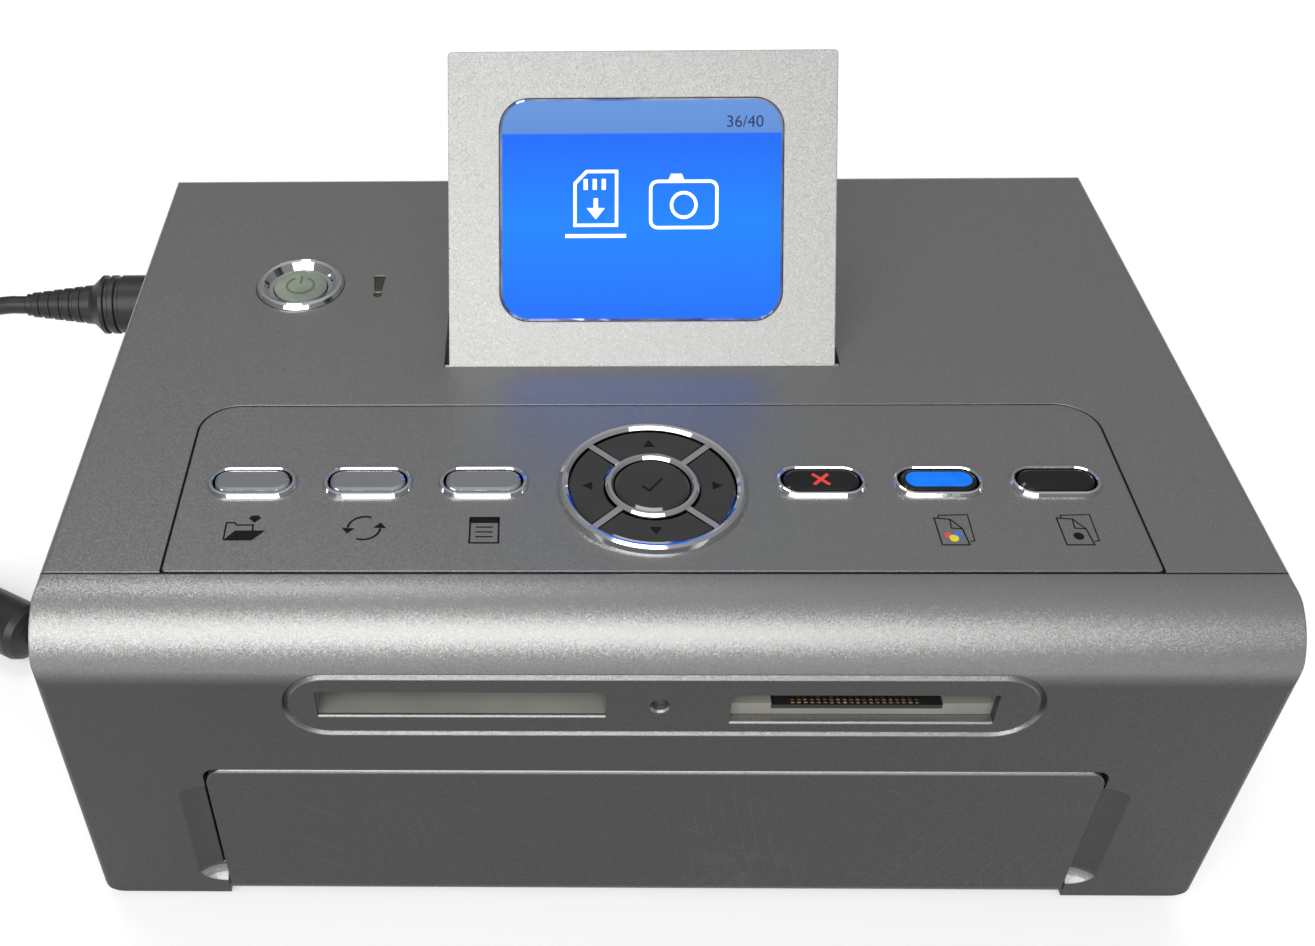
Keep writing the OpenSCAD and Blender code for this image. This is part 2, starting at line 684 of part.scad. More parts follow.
// Light moulding behind the fascia that leads both kinds of card in
module card_guide() {
  color(ivory) difference() {
    union() {
      span([-guide_hw, guide_y[0] + 0.1, guide_z[0]], [guide_hw, guide_y[1], guide_z[1]]);
      guide_nose(card_x, card_w, card_z, card_lip);
      guide_nose(cf_x, cf_w, cf_z, cf_lip);
    }
    span([card_x - card_w / 2, y_front, card_z[0]], [card_x + card_w / 2, guide_y[1] - 4, card_z[1]]);
    span([cf_x - cf_w / 2, y_front, cf_guide_z], [cf_x + cf_w / 2, guide_y[1] + 1, cf_z[1]]);
    span([cf_bay_x - cf_bay_hw, y_front, cf_bay_z], [cf_bay_x + cf_bay_hw, guide_y[1] + 1, cf_z[1]]);
  }
}

module guide_nose(x, w, z, lip) {
  span([x - w / 2 - nose_t, y_front + lip + 0.1, z[0] - nose_t],
       [x + w / 2 + nose_t, guide_y[0] + 0.2, z[1] + nose_t]);
}

// Black socket of the large slot: contact rows under the mouth and pins at the back
module card_socket() {
  y0 = y_front + cf_lip + 0.15;
  bay_x = [cf_bay_x - cf_bay_hw + 0.1, cf_bay_x + cf_bay_hw - 0.1];
  low = cf_bay_z + 0.05;
  top = cf_guide_z - 0.5;
  pitch = 1.07;
  color(dark) {
    span([bay_x[0], y0, low], [bay_x[1], guide_y[1] - 0.2, top]);
    span([bay_x[0], guide_y[1] - 1, low], [bay_x[1], guide_y[1] + 1, top]);
    span([cf_x - cf_w / 2 + 0.1, guide_y[1] + 0.1, low],
         [cf_x + cf_w / 2 - 0.1, guide_y[1] + 3, cf_z[1] - 0.1]);
  }
  color([0.55, 0.4, 0.2]) for (i = [0 : 19], k = [0, 1])
    translate([cf_bay_x - 0.3 + (i - 9.5) * pitch - 0.25, y0 + 0.15 + k * 0.6, top - 0.15])
      cube([0.5, 0.4 + k * 0.6, 0.35]);
}

module card_reader_board() {
  color(board_green)
    span([-guide_hw, y_front + wall + 0.6, guide_z[0] - board_t], [guide_hw, guide_y[1] + 4, guide_z[0]]);
}

// Drop-down door: rounded upper corners, round lower edge on the pivot, ribs inside
module front_door() {
  back = y_front + door_t;
  color(silver) difference() {
    union() {
      intersection() {
        along_x(door_w) {
          translate(door_axis) circle(door_pivot_r);
          difference() {
            translate([y_front, door_axis[1]]) square([door_t, door_top - door_axis[1]]);
            translate([y_front, door_top] + door_edge_r * [1, -1]) mirror([1, 0]) corner_cut(door_edge_r);
          }
        }
        along_y(2 * door_pivot_r + 2, y_front - 1) translate([0, door_low])
          plate_outline(door_w, door_top - door_low, door_corner_r, door_low_r);
      }
      for (x = [-66 : 22 : 66]) span([x - 0.7, back - e, door_axis[1]], [x + 0.7, back + 1.6, door_top - 5]);
      span([-door_w / 2 + 6, back - e, door_top - 6], [door_w / 2 - 6, back + 1.6, door_top - 4.6]);
    }
    for (s = [0, 1]) mirror([s, 0, 0])
      rod(door_pin_r + run, door_w / 2 - door_post, door_w / 2 + 1, door_axis);
  }
}

// Steel pins of the paper door and of the cartridge door
module door_pins() {
  color(steel) for (s = [0, 1]) mirror([s, 0, 0])
    rod(door_pin_r, door_w / 2 - door_post + 0.5, door_w / 2 + 5, door_axis);
  color(steel) for (y = [cart_door_y[0] - 4, cart_door_y[1] - 4.6])
    translate([x_side - cart_pivot_r, y, cart_axis_z]) rotate([-90, 0, 0]) cylinder(r = 1, h = 8.6);
}

// Side flap over the cartridge bay
module cartridge_door() {
  axis = [x_side - cart_pivot_r, cart_axis_z];
  color(silver) difference() {
    union() {
      span([x_side - wall, cart_door_y[0], axis[1]], [x_side, cart_door_y[1], cart_door_z[1]]);
      translate([axis[0], cart_door_y[0], axis[1]]) rotate([-90, 0, 0])
        cylinder(r = cart_pivot_r, h = cart_door_y[1] - cart_door_y[0]);
      for (y = [cart_door_y[0] + 12 : 14 : cart_door_y[1] - 12])
        span([x_side - wall - 1.4, y, axis[1]], [x_side - wall + e, y + 1.2, cart_door_z[1] - 4]);
    }
    for (y = [cart_door_y[0] - 1, cart_door_y[1] - 5])
      translate([axis[0], y, axis[1]]) rotate([-90, 0, 0]) cylinder(r = 1 + run, h = 6);
    // nail groove along the upper edge
    translate([x_side + 0.6, (cart_door_y[0] + cart_door_y[1]) / 2 - 10, cart_door_z[1] - 3])
      rotate([-90, 0, 0]) cylinder(r = 1.4, h = 20);
  }
}

// Panel frame: X across, Y up along the panel from the pivot, Z out of its face
module on_panel() {
  translate([0, lcd_axis[0], lcd_axis[1]]) rotate([lcd_tilt, 0, 0]) children();
}

module window_outline(grow) {
  translate([-0.15, window_y - window_h / 2 - grow])
    plate_outline(window_w + 2 * grow, window_h + 2 * grow, window_r + grow, window_r + grow);
}

module panel_side(z0, z1) {
  difference() {
    translate([-lcd_pivot_r, z0]) square([lcd_l + lcd_pivot_r, z1 - z0]);
    mirror([1, 0]) corner_cut(lcd_pivot_r);
  }
}

module lcd_bezel() {
  color([0.78, 0.78, 0.77]) on_panel() difference() {
    intersection() {
      along_x(lcd_w) panel_side(lcd_pivot_r - lcd_t / 2, lcd_pivot_r);
      translate([0, 0, -10]) linear_extrude(20) translate([0, -lcd_pivot_r])
        plate_outline(lcd_w, lcd_l + lcd_pivot_r, 0.8, 0.3);
    }
    translate([0, 0, lcd_pivot_r - 2]) linear_extrude(4) window_outline(0);
    span([-lcd_room, 4.5, lcd_pivot_r - lcd_t], [lcd_room, lcd_l - 3, lcd_pivot_r - 1.6]);
    rod(lcd_pin_r + run, -lcd_w / 2 - 1, lcd_w / 2 + 1, [0, 0]);
  }
}

module lcd_back() {
  color(silver) on_panel() difference() {
    intersection() {
      along_x(lcd_w) panel_side(lcd_pivot_r - lcd_t, lcd_pivot_r - lcd_t / 2 - 0.05);
      translate([0, 0, -10]) linear_extrude(20) translate([0, -lcd_pivot_r])
        plate_outline(lcd_w, lcd_l + lcd_pivot_r, 0.8, 0.3);
    }
    span([-lcd_room, 4.5, lcd_pivot_r - lcd_t + 1.4], [lcd_room, lcd_l - 3, lcd_pivot_r]);
    for (x = (lcd_room - 1) * [-1, 1], y = [7, lcd_l - 6])
      translate([x, y, lcd_pivot_r - lcd_t - 1]) cylinder(r = 1.4, h = 2);
  }
}

// Clear window with a bevelled lip that stands just proud of the bezel
module lcd_window() {
  color([0.05, 0.2, 0.75]) on_panel() {
    translate([0, 0, lcd_pivot_r - 1.5]) linear_extrude(1.7) window_outline(-0.15);
  }
}

module lcd_module() {
  color([0.3, 0.3, 0.32]) on_panel()
    span([1.5 - lcd_room, window_y - window_h / 2 - 2.15, lcd_pivot_r - 4.9],
         [lcd_room - 1.5, window_y + window_h / 2 + 2.15, lcd_pivot_r - 1.7]);
}

module lcd_pins() {
  color(steel) for (s = [0, 1]) mirror([s, 0, 0])
    rod(lcd_pin_r, lcd_w / 2 - 5, pocket_hw + tub - 0.1, lcd_axis);
}

// Liner behind the paper door, with the tunnel that takes the paper tray
module paper_tunnel() {
  t = tunnel_t;
  color(dark) difference() {
    union() {
      span([-tunnel_hw - t, tunnel_y[0], tunnel_z[0]], [tunnel_hw + t, tunnel_y[1], tunnel_z[1] + t]);
      span([-door_w / 2 + 0.4, tunnel_y[0], z_floor + 0.3],
           [door_w / 2 - 0.4, tunnel_y[0] + t, door_top - 0.2]);
    }
    span([-tunnel_hw, tunnel_y[0] - 1, z_floor - 1], [tunnel_hw, tunnel_y[1] + 1, tunnel_z[1]]);
    for (x = pick_xs)
      span([x - pick_tyre_w / 2 - 2, pick_at[0] - pick_r - 1, tunnel_z[1] - 1],
           [x + pick_tyre_w / 2 + 2, pick_at[0] + pick_r + 1, tunnel_z[1] + t + 1]);
  }
}

// Side plate outline: low at the front, under the key board
module plate_shape() {
  polygon([[plate_y[0], z_floor], [plate_y[1], z_floor], [plate_y[1], plate_top], [panel_y1 + 1, plate_top],
           [panel_y1 + 1, plate_low], [plate_y[0], plate_low]]);
}

module left_plate() {
  color(steel) difference() {
    union() {
      along_x(plate_t, -plate_x - plate_t / 2) plate_shape();
      rod(4.2, -plate_x - e, -plate_x + 2, platen_at);
      rod(3.6, -plate_x - e, -plate_x + 2, feed_at);
    }
    plate_bores(-1);
    head_slot(-plate_x);
  }
  color(steel) {
    rod(1.8, gear_x - gear_w - 0.6, -plate_x - plate_t + e, idler_at);
    for (a = [60, 150, 240]) rod(1.8, gear_x - gear_w - motor_post_l, -plate_x - plate_t + e,
                                 motor_at + motor_post_at * [cos(a), sin(a)]);
  }
}

// Upright slot that guides a pin of the print head
module head_slot(x) {
  span([x - 5, platen_at[0] - head_pin_r - 0.2, head_pin_z - head_pin_r - 0.4],
       [x + 5, platen_at[0] + head_pin_r + 0.2, head_pin_z + head_pin_r + 2.6]);
}

module plate_bores(side) {
  x0 = side * plate_x - 6;
  rod(shaft_r + run, x0, x0 + 12, platen_at);
  rod(2 + run, x0, x0 + 12, feed_at);
  rod(1.5 + run, x0, x0 + 12, pinch_at);
  rod(2 + run, x0, x0 + 12, pick_at);
  if (side < 0) for (at = [supply_at, takeup_at]) rod(spool_tip_r + run, x0, x0 + 12, at);
}

// Right side plate: its window is the cartridge's own outline, so that the cartridge slides in
module right_plate() {
  color(steel) difference() {
    union() {
      along_x(plate_t, plate_x + plate_t / 2) plate_shape();
      rod(4.2, plate_x - 2, plate_x + e, platen_at);
      rod(3.6, plate_x - 2, plate_x + e, feed_at);
    }
    plate_bores(1);
    rod(supply_r + 0.8, plate_x - 1, plate_x + 5, supply_at);
    rod(takeup_r + 0.8, plate_x - 1, plate_x + 5, takeup_at);
    span([plate_x - 1, supply_at[0], head_z[0] + 0.4], [plate_x + 5, takeup_at[0], head_z[0] + 4.4]);
    head_slot(plate_x);
  }
}

// Spur gear with straight-sided teeth, drawn in Y and Z about its own centre
module gear(teeth, bore) {
  p = gear_m * teeth / 2;
  root = p - 1.15 * gear_m;
  tip = p + 0.9 * gear_m;
  step = 360 / teeth;
  difference() {
    polygon([for (i = [0 : teeth - 1], k = [[root, -0.34], [tip, -0.11], [tip, 0.11], [root, 0.34]])
      k[0] * [cos((i + k[1]) * step), sin((i + k[1]) * step)]]);
    circle(bore);
  }
}

module gear_on(at, teeth, bore, turn) {
  translate([0, at[0], at[1]]) along_x(gear_w, gear_x - gear_w / 2) rotate(turn) gear(teeth, bore);
}

// Turn of a gear at b whose tooth gap meets a tooth of the gear at a
function mesh_turn(a, ta, turn_a, b, tb) =
  let (d = atan2(b[1] - a[1], b[0] - a[0])) d + 180 - 180 / tb + (d - turn_a) * ta / tb;

platen_turn = 0;
idler_turn = mesh_turn(platen_at, platen_teeth, platen_turn, idler_at, idler_teeth);
feed_turn = mesh_turn(idler_at, idler_teeth, idler_turn, feed_at, feed_teeth);
pinion_turn = mesh_turn(platen_at, platen_teeth, platen_turn, motor_at, pinion_teeth);

module platen_roller() {
  color(steel) rod(shaft_r, gear_x - gear_w - 1, plate_x + 5, platen_at);
  color(rubber) rod(platen_r, -platen_l / 2, platen_l / 2, platen_at);
  color(ivory) gear_on(platen_at, platen_teeth, shaft_r - 0.1, platen_turn);
}

module feed_roller() {
  color(steel) {
    rod(2, gear_x - gear_w - 1, plate_x + 5, feed_at);
    rod(feed_r, -platen_l / 2, platen_l / 2, feed_at);
  }
  color(ivory) gear_on(feed_at, feed_teeth, 1.9, feed_turn);
}

module pinch_roller() {
  color(steel) rod(1.5, -plate_x - plate_t - 0.5, plate_x + plate_t + 0.5, pinch_at);
  color(rubber) for (x = [-33, 33]) rod(pinch_r, x - 14, x + 14, pinch_at);
}

module pick_roller() {
  color(steel) rod(2, -plate_x - plate_t - 0.5, plate_x + plate_t + 0.5, pick_at);
  color(rubber) for (x = pick_xs) rod(pick_r, x - pick_tyre_w / 2, x + pick_tyre_w / 2, pick_at);
}

module idler_gear() {
  color(ivory) gear_on(idler_at, idler_teeth, 1.8 + run, idler_turn);
}

module motor() {
  x1 = gear_x - gear_w - motor_post_l;
  color(steel) {
    rod(motor_r, x1 - 1 - motor_l, x1 - 1 + e, motor_at);
    difference() {
      rod(motor_flange_r, x1 - 1, x1, motor_at);
      rod(1 + run, x1 - 3, x1 + 1, motor_at);
    }
  }
}

module motor_pinion() {
  color([0.75, 0.62, 0.3]) {
    rod(1, gear_x - gear_w - motor_post_l - 0.9, gear_x + 0.2, motor_at);
    gear_on(motor_at, pinion_teeth, 0.9, pinion_turn);
  }
}

// Ramp from the feed roller to the slot in the rear wall
module exit_guide() {
  color(dark) span([-plate_x, feed_at[0] + feed_r + 0.8, rear_slot_z[0] - 2],
                   [plate_x, y_rear - wall - 0.2, rear_slot_z[0] - 0.4]);
}

// Heater bar under a finned heat sink, held by a pin at each end in the slots of the side plates
module thermal_head() {
  mid = platen_at[0];
  color([0.7, 0.71, 0.72]) {
    difference() {
      span([-head_hw, head_y[0], head_z[0] + 3], [head_hw, head_y[1], head_z[1]]);
      for (y = [head_y[0] + 2.2 : 3.2 : head_y[1] - 2])
        span([-head_hw - 1, y, head_z[1] - 7], [head_hw + 1, y + 1.6, head_z[1] + 1]);
    }
    span([-head_hw, mid - 3, head_z[0]], [head_hw, mid + 3, head_z[0] + 3.01]);
    for (s = [0, 1]) mirror([s, 0, 0]) {
      rod(head_pin_r, head_hw - e, plate_x + plate_t + 0.6, [mid, head_pin_z]);
      span([head_hw - 2, mid - 3, head_z[1] - 8], [head_hw, mid + 3, head_z[1]]);
    }
  }
}

// Two open-topped cradles for the film spools, joined by a low bar at each end and by the grip
module ribbon_cartridge() {
  bar_y = [supply_at[0] + supply_r - 3.4, takeup_at[0] - takeup_r + 3.2];
  bar_z = head_z[0] + 0.9;
  color(dark) difference() {
    union() {
      spool_case(supply_at, supply_r, -1);
      spool_case(takeup_at, takeup_r, 1);
      for (x = [cart_x[0], 58]) span([x, bar_y[0], bar_z], [x + 3, bar_y[1], bar_z + 3]);
      difference() {
        span([cart_x[1] - 3, supply_at[0], supply_at[1] - 8], [cart_x[1], takeup_at[0], supply_at[1] + 8]);
        span([cart_x[1] - 4, supply_at[0] + supply_r + 3, supply_at[1] - 4],
             [cart_x[1] + 1, takeup_at[0] - takeup_r - 3, supply_at[1] + 4]);
      }
    }
    for (at = [supply_at, takeup_at]) rod(spool_shaft_r + 0.1, cart_x[0] - 1, cart_x[1] - 0.6, at);
  }
}

module spool_case(at, r, side) {
  reach = r + 1;
  mid = at[0] - side * reach / 2;
  difference() {
    rod(r, cart_x[0], cart_x[1], at);
    rod(r - 1.3, cart_x[0] + 1.5, cart_x[1] - 1.5, at);
    // the film leaves through a slit that faces the head
    span([cart_x[0] + 3, mid - reach / 2, at[1] - reach], [57, mid + reach / 2, at[1] - r * 0.45]);
  }
}

// Film on its core between two flanges, on a shaft that steps down into the left plate
module spool(at, r) {
  color([0.25, 0.2, 0.1]) rod(r, -51, 55, at);
  color(ivory) {
    rod(spool_shaft_r, cart_x[0] - 0.5, cart_x[1] - 0.9, at);
    rod(spool_tip_r, -plate_x - plate_t + 0.2, cart_x[0], at);
    for (x = [-53, 56]) rod(r + 0.9, x, x + 1.2, at);
    rod(3, -52, 56, at);
  }
}

module supply_spool() { spool(supply_at, 9.6); }
module takeup_spool() { spool(takeup_at, 6.4); }

// Upright board at the left wall: the data socket stands on it at the rear
module main_board() {
  x0 = -x_side + 15;
  color(board_green) span([x0, y_front + 30, z_floor + 3.4], [-plate_x - 4.5, y_rear - 8, z_floor + 5]);
  color(steel) {
    difference() {
      span([usb_x - 6, y_rear - 17, usb_z[0] + 0.1], [usb_x + 6, y_rear - 0.6, usb_z[1] - 0.1]);
      span([usb_x - 4.3, y_rear - 10, usb_z[0] + 1.7], [usb_x + 4.3, y_rear + 1, usb_z[1] - 1.7]);
    }
    for (y = [y_front + 36, y_rear - 30]) translate([x0 + 5, y, z_floor]) cylinder(r = 2.2, h = 3.5);
    translate([-plate_x - 12, y_rear - 30, z_floor]) cylinder(r = 2.2, h = 3.5);
  }
  color(dark) {
    for (y = [-10, 16]) span([x0 + 4, y, z_floor + 4.9], [x0 + 18, y + 14, z_floor + 6.4]);
    span([usb_x - 5, y_rear - 16, z_floor + 4.9], [usb_x + 5, y_rear - 9, usb_z[0] + 0.2]);
  }
}

// Small upright board that carries the power socket
module power_board() {
  x0 = -x_side + wall;
  color(board_green)
    span([x0 + 12, jack_at[0] - 9, jack_at[1] - 12], [x0 + 12 + board_t, jack_at[0] + 9, jack_at[1] + 8]);
  color(dark) difference() {
    union() {
      span([x0 + 0.1, jack_at[0] - 4.6, jack_at[1] - 5.5], [x0 + 12.1, jack_at[0] + 4.6, jack_at[1] + 5.5]);
      rod(4.1, -x_side + 0.4, x0 + 0.2, jack_at);
    }
    rod(2.9, -x_side - 1, x0 + 10, jack_at);
  }
  color(steel) rod(0.9, x0, x0 + 11, jack_at);
}

// Moulded plug: contact sleeve, ribbed grip, tapered strain relief
plug_l = 18;
relief_l = 15.6;
plug_r = 6.6;
module dc_plug() {
  x1 = -x_side - 0.15;
  end = plug_l + relief_l + 0.4;
  low = plug_r - 0.5;
  grip = [[0, low], [0.6, plug_r], [12, plug_r], [12.3, low], [13, low], [13.3, plug_r], [14.4, plug_r],
          [14.7, low], [15.4, low], [15.7, plug_r], [plug_l - 1.5, plug_r], [plug_l + 0.6, 4.6]];
  relief = [for (i = [0 : 5]) let (x = plug_l + 1.2 + i * 2.4, r = 4.4 - i * 0.3)
    each [[x, r], [x + 1.5, r - 0.1], [x + 1.7, r - 0.5], [x + 2.2, r - 0.5]]];
  color(rubber) translate([x1, jack_at[0], jack_at[1]]) rotate([0, -90, 0]) rotate_extrude()
    polygon([for (p = concat([[0, 0]], grip, relief, [[end, lead_d / 2 + 0.5], [end, 0]])) [p[1], p[0]]]);
  color(steel) difference() {
    rod(2.7, x1 - 1, x1 + 9.5, jack_at);
    rod(1.05, x1, x1 + 10, jack_at);
  }
}

// Route of the lead: from the plug down to the table, through the choke, along the left side
lead_a = [[-135.2, 50, 51.4], [-137.4, 50, 51.4], [-139.6, 50, 51.4], [-144.6, 50, 50.4], [-149.8, 49.8, 47],
  [-154.4, 49.2, 41.6], [-158.4, 48.2, 34.8], [-162, 46.4, 27.6], [-165.2, 43.4, 20.6], [-168, 38.8, 14.4],
  [-170.2, 32.6, 9.4], [-171.2, 25.6, 6], [-170.4, 18.8, 4.6], [-167.4, 13.2, 4.8], [-163.6, 9.4, 5.8],
  [-160.4, 6.98, 6.4], [-157, 5.12, 6.4], [-153.3, 3.1, 6.4]];
lead_b = [[-128.7, -10.3, 6.4], [-125, -12.32, 6.4], [-120, -13.8, 5.6], [-114.7, -13.2, 4.3],
  [-110.1, -10.4, 3.1], [-107.1, -6.2, 2.4], [-106, -1, 2.1], [-106, 5, 2.1], [-106, 14, 2.1],
  [-106, 28, 2.1], [-106, 42, 2.1], [-106, 56, 2.1], [-106, 70, 2.1], [-106, 84, 2.1], [-106, 97, 2.1],
  [-106, 101.5, 2.1]];
lead_c = [[-70.5, 137, 6.8], [-66.3, 137, 6.8], [-61.9, 136.6, 7], [-57.5, 135.4, 7.5], [-53.2, 133, 8.6],
  [-48.8, 129, 10.4], [-44.4, 125, 12.2], [-40.1, 122.6, 13.3], [-35.7, 121.4, 13.8], [-31.3, 121, 14],
  [-27, 121, 14]];
coil_at = [-75, 106];
coil_out = 31;
coil_step = 4.6;
coil_z0 = 2.1;
coil_lift = 4.7;
choke_ends = [lead_a[len(lead_a) - 1], lead_b[0]];

// Smooth curve through points p, k steps to a point
function smooth(p, k) = [for (i = [0 : len(p) - 2], j = [0 : k - 1])
    let (a = p[max(i - 1, 0)], b = p[i], c = p[i + 1], d = p[min(i + 2, len(p) - 1)], t = j / k)
    0.5 * (2 * b + (c - a) * t + (2 * a - 5 * b + 4 * c - d) * t * t + (3 * b - a - 3 * c + d) * t * t * t),
  p[len(p) - 1]];

function unit(v) = v / norm(v);
function heading(p, i) = unit(p[min(i + 1, len(p) - 1)] - p[max(i - 1, 0)]);

// Solid tube of radius r along p; frames turn as little as they can from ring to ring
module tube(p, r, sides) {
  n = len(p);
  ups = [for (i = 0, u = unit(cross(heading(p, 0), [0.1, 0.2, 1])); i < n; i = i + 1,
    u = i < n ? unit(u - (u * heading(p, i)) * heading(p, i)) : u) u];
  rings = [for (i = [0 : n - 1], k = [0 : sides - 1])
    let (u = ups[i], v = cross(heading(p, i), u), a = 360 * k / sides)
      p[i] + r * (cos(a) * u + sin(a) * v)];
  faces = [[for (k = [0 : sides - 1]) k],
    for (i = [0 : n - 2], k = [0 : sides - 1]) let (a = i * sides + k, b = i * sides + (k + 1) % sides)
      each [[a, a + sides, b + sides], [a, b + sides, b]],
    [for (k = [sides - 1 : -1 : 0]) (n - 1) * sides + k]];
  polyhedron(rings, faces);
}

// Coil: clockwise from its left point, in on the lower layer, up, and out on the upper one
rings_per_turn = 24;
quarter = 0.25;
coil_total = 2 * coil_turns + quarter;
function coil_point(t) =
  let (rise_from = coil_turns - 0.125, rise = min(max((t - rise_from) / 0.5, 0), 1),
       inward = t < coil_turns + quarter / 2 ? t : coil_total - t,
       r = coil_out - coil_step * inward, a = 180 - 360 * t)
  [coil_at[0] + r * cos(a), coil_at[1] + r * sin(a), coil_z0 + coil_lift * (3 - 2 * rise) * rise * rise];
coil_path = [lead_b[len(lead_b) - 1],
  for (i = [0 : round(coil_total * rings_per_turn)]) coil_point(i / rings_per_turn), lead_c[0]];
coil_gaps = [for (i = [0 : len(coil_path) - 1], j = [i + rings_per_turn / 2 : len(coil_path) - 1])
  norm(coil_path[i] - coil_path[j])];
function total(v, i = 0) = i < len(v) ? v[i] + total(v, i + 1) : 0;
function path_length(p) = total([for (i = [1 : len(p) - 1]) norm(p[i] - p[i - 1])]);
echo(least_coil_gap = min(coil_gaps) - lead_d);
echo(lead_length = total([for (p = [lead_a, lead_b, lead_c]) path_length(smooth(p, 4))])
  + norm(choke_ends[1] - choke_ends[0]) + path_length(coil_path));

module lead_front() { color(rubber) tube(smooth(lead_a, 2), lead_d / 2, 8); }
module lead_side() { color(rubber) tube(smooth(lead_b, 1), lead_d / 2, 8); }
module lead_tail() { color(rubber) tube(smooth(lead_c, 1), lead_d / 2, 8); }
module lead_coil() { color(rubber) tube(coil_path, lead_d / 2, 6); }

// Split ferrite sleeve under moulded rubber
choke_r = 6.4;
module ferrite_choke() {
  d = choke_ends[1] - choke_ends[0];
  l = norm(d);
  color(rubber) translate(choke_ends[0]) rotate([0, 0, atan2(d[1], d[0])]) rotate([0, 90, 0]) rotate_extrude()
    polygon([[0, 0.02], [3, 0.02], [4.4, 0.6], [5.7, 1.6], [choke_r, 3.2], [choke_r, l - 3.2],
             [5.7, l - 1.6], [4.4, l - 0.6], [3, l - 0.02], [0, l - 0.02]]);
}

adapter_size = [92, 42, 28];
module adapter_outline(inset) {
  r = 4 - inset;
  translate([0, inset]) plate_outline(adapter_size[0] - 2 * inset, adapter_size[1] - 2 * inset, r, r);
}
module power_adapter() {
  p = lead_c[len(lead_c) - 1];
  x0 = p[0] + 13;
  half = adapter_size[2] / 2;
  color(dark) difference() {
    union() {
      translate([x0 + adapter_size[0] / 2, p[1] - adapter_size[1] / 2, 0]) {
        linear_extrude(half - 0.2) adapter_outline(0);
        linear_extrude(half + 1) adapter_outline(0.5);
        translate([0, 0, half + 0.2]) linear_extrude(half - 1.2) adapter_outline(0);
        linear_extrude(2 * half) adapter_outline(1.2);
      }
      translate([p[0] + 0.05, p[1], p[2]]) rotate([0, 90, 0]) rotate_extrude()
        polygon([[0, 0], [2.8, 0], [3.2, 3], [4, 9], [4.6, 13.5], [0, 13.5]]);
    }
    along_x(12, x0 + adapter_size[0]) translate([p[1], p[2] - 5.5]) plate_outline(13, 11, 2, 2);
  }
  color(steel) for (y = [-3.5, 3.5])
    rod(1, x0 + adapter_size[0] - 6.01, x0 + adapter_size[0] - 1, [p[1] + y, p[2]]);
}

base_shell();
top_cover();
front_fascia();
control_panel();
rubber_feet();
case_screws();
front_door();
door_pins();
cartridge_door();
lcd_bezel();
lcd_back();
lcd_window();
lcd_module();
lcd_pins();
key_rims();
folder_key();
rotate_key();
menu_key();
cancel_key();
colour_copy_key();
mono_copy_key();
pad_ring();
pad_up_key();
pad_left_key();
pad_down_key();
pad_right_key();
pad_centre_key();
power_ring();
power_key();
power_switch_board();
alert_lens();
status_light();
key_board();
card_guide();
card_socket();
card_reader_board();
paper_tunnel();
left_plate();
right_plate();
platen_roller();
feed_roller();
pinch_roller();
pick_roller();
idler_gear();
motor();
motor_pinion();
exit_guide();
thermal_head();
ribbon_cartridge();
supply_spool();
takeup_spool();
main_board();
power_board();
dc_plug();
lead_front();
lead_side();
lead_coil();
lead_tail();
ferrite_choke();
power_adapter();
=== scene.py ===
import math

import bmesh
import bpy
from mathutils import Matrix, Vector


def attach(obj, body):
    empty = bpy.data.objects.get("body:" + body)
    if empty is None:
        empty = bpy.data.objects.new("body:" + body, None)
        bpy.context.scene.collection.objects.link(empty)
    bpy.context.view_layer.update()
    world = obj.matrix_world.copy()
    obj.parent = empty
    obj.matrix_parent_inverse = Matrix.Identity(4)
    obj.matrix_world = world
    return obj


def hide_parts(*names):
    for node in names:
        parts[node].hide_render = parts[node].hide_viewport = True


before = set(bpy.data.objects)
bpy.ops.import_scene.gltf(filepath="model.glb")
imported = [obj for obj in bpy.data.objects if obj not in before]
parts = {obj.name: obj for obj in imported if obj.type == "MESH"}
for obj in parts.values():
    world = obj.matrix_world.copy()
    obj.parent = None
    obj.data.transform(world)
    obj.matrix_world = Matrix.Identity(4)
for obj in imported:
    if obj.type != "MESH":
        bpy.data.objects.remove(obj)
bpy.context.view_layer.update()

# ---------------------------------------------------------------------------------------------
# Viewpoint: a hand-held camera just in front of the printer and above it, looking down at the
# keys. Its principal axis passes left of the picture's middle, hence the shift.
camera = bpy.data.objects.new("camera", bpy.data.cameras.new("camera"))
bpy.context.collection.objects.link(camera)
camera.data.sensor_width = 36
camera.data.lens = 40.22
camera.data.shift_x = 147.5 / 1315
camera.data.clip_start = 0.01
camera.data.clip_end = 20
yaw, pitch, roll = 1.61, 41.712, -1.147
camera.matrix_world = (
    Matrix.Translation((-0.019097, -0.222664, 0.243197))
    @ Matrix.Rotation(math.radians(yaw), 4, "Z")
    @ Matrix.Rotation(math.radians(90 - pitch), 4, "X")
    @ Matrix.Rotation(math.radians(roll), 4, "Z")
)
bpy.context.scene.camera = camera

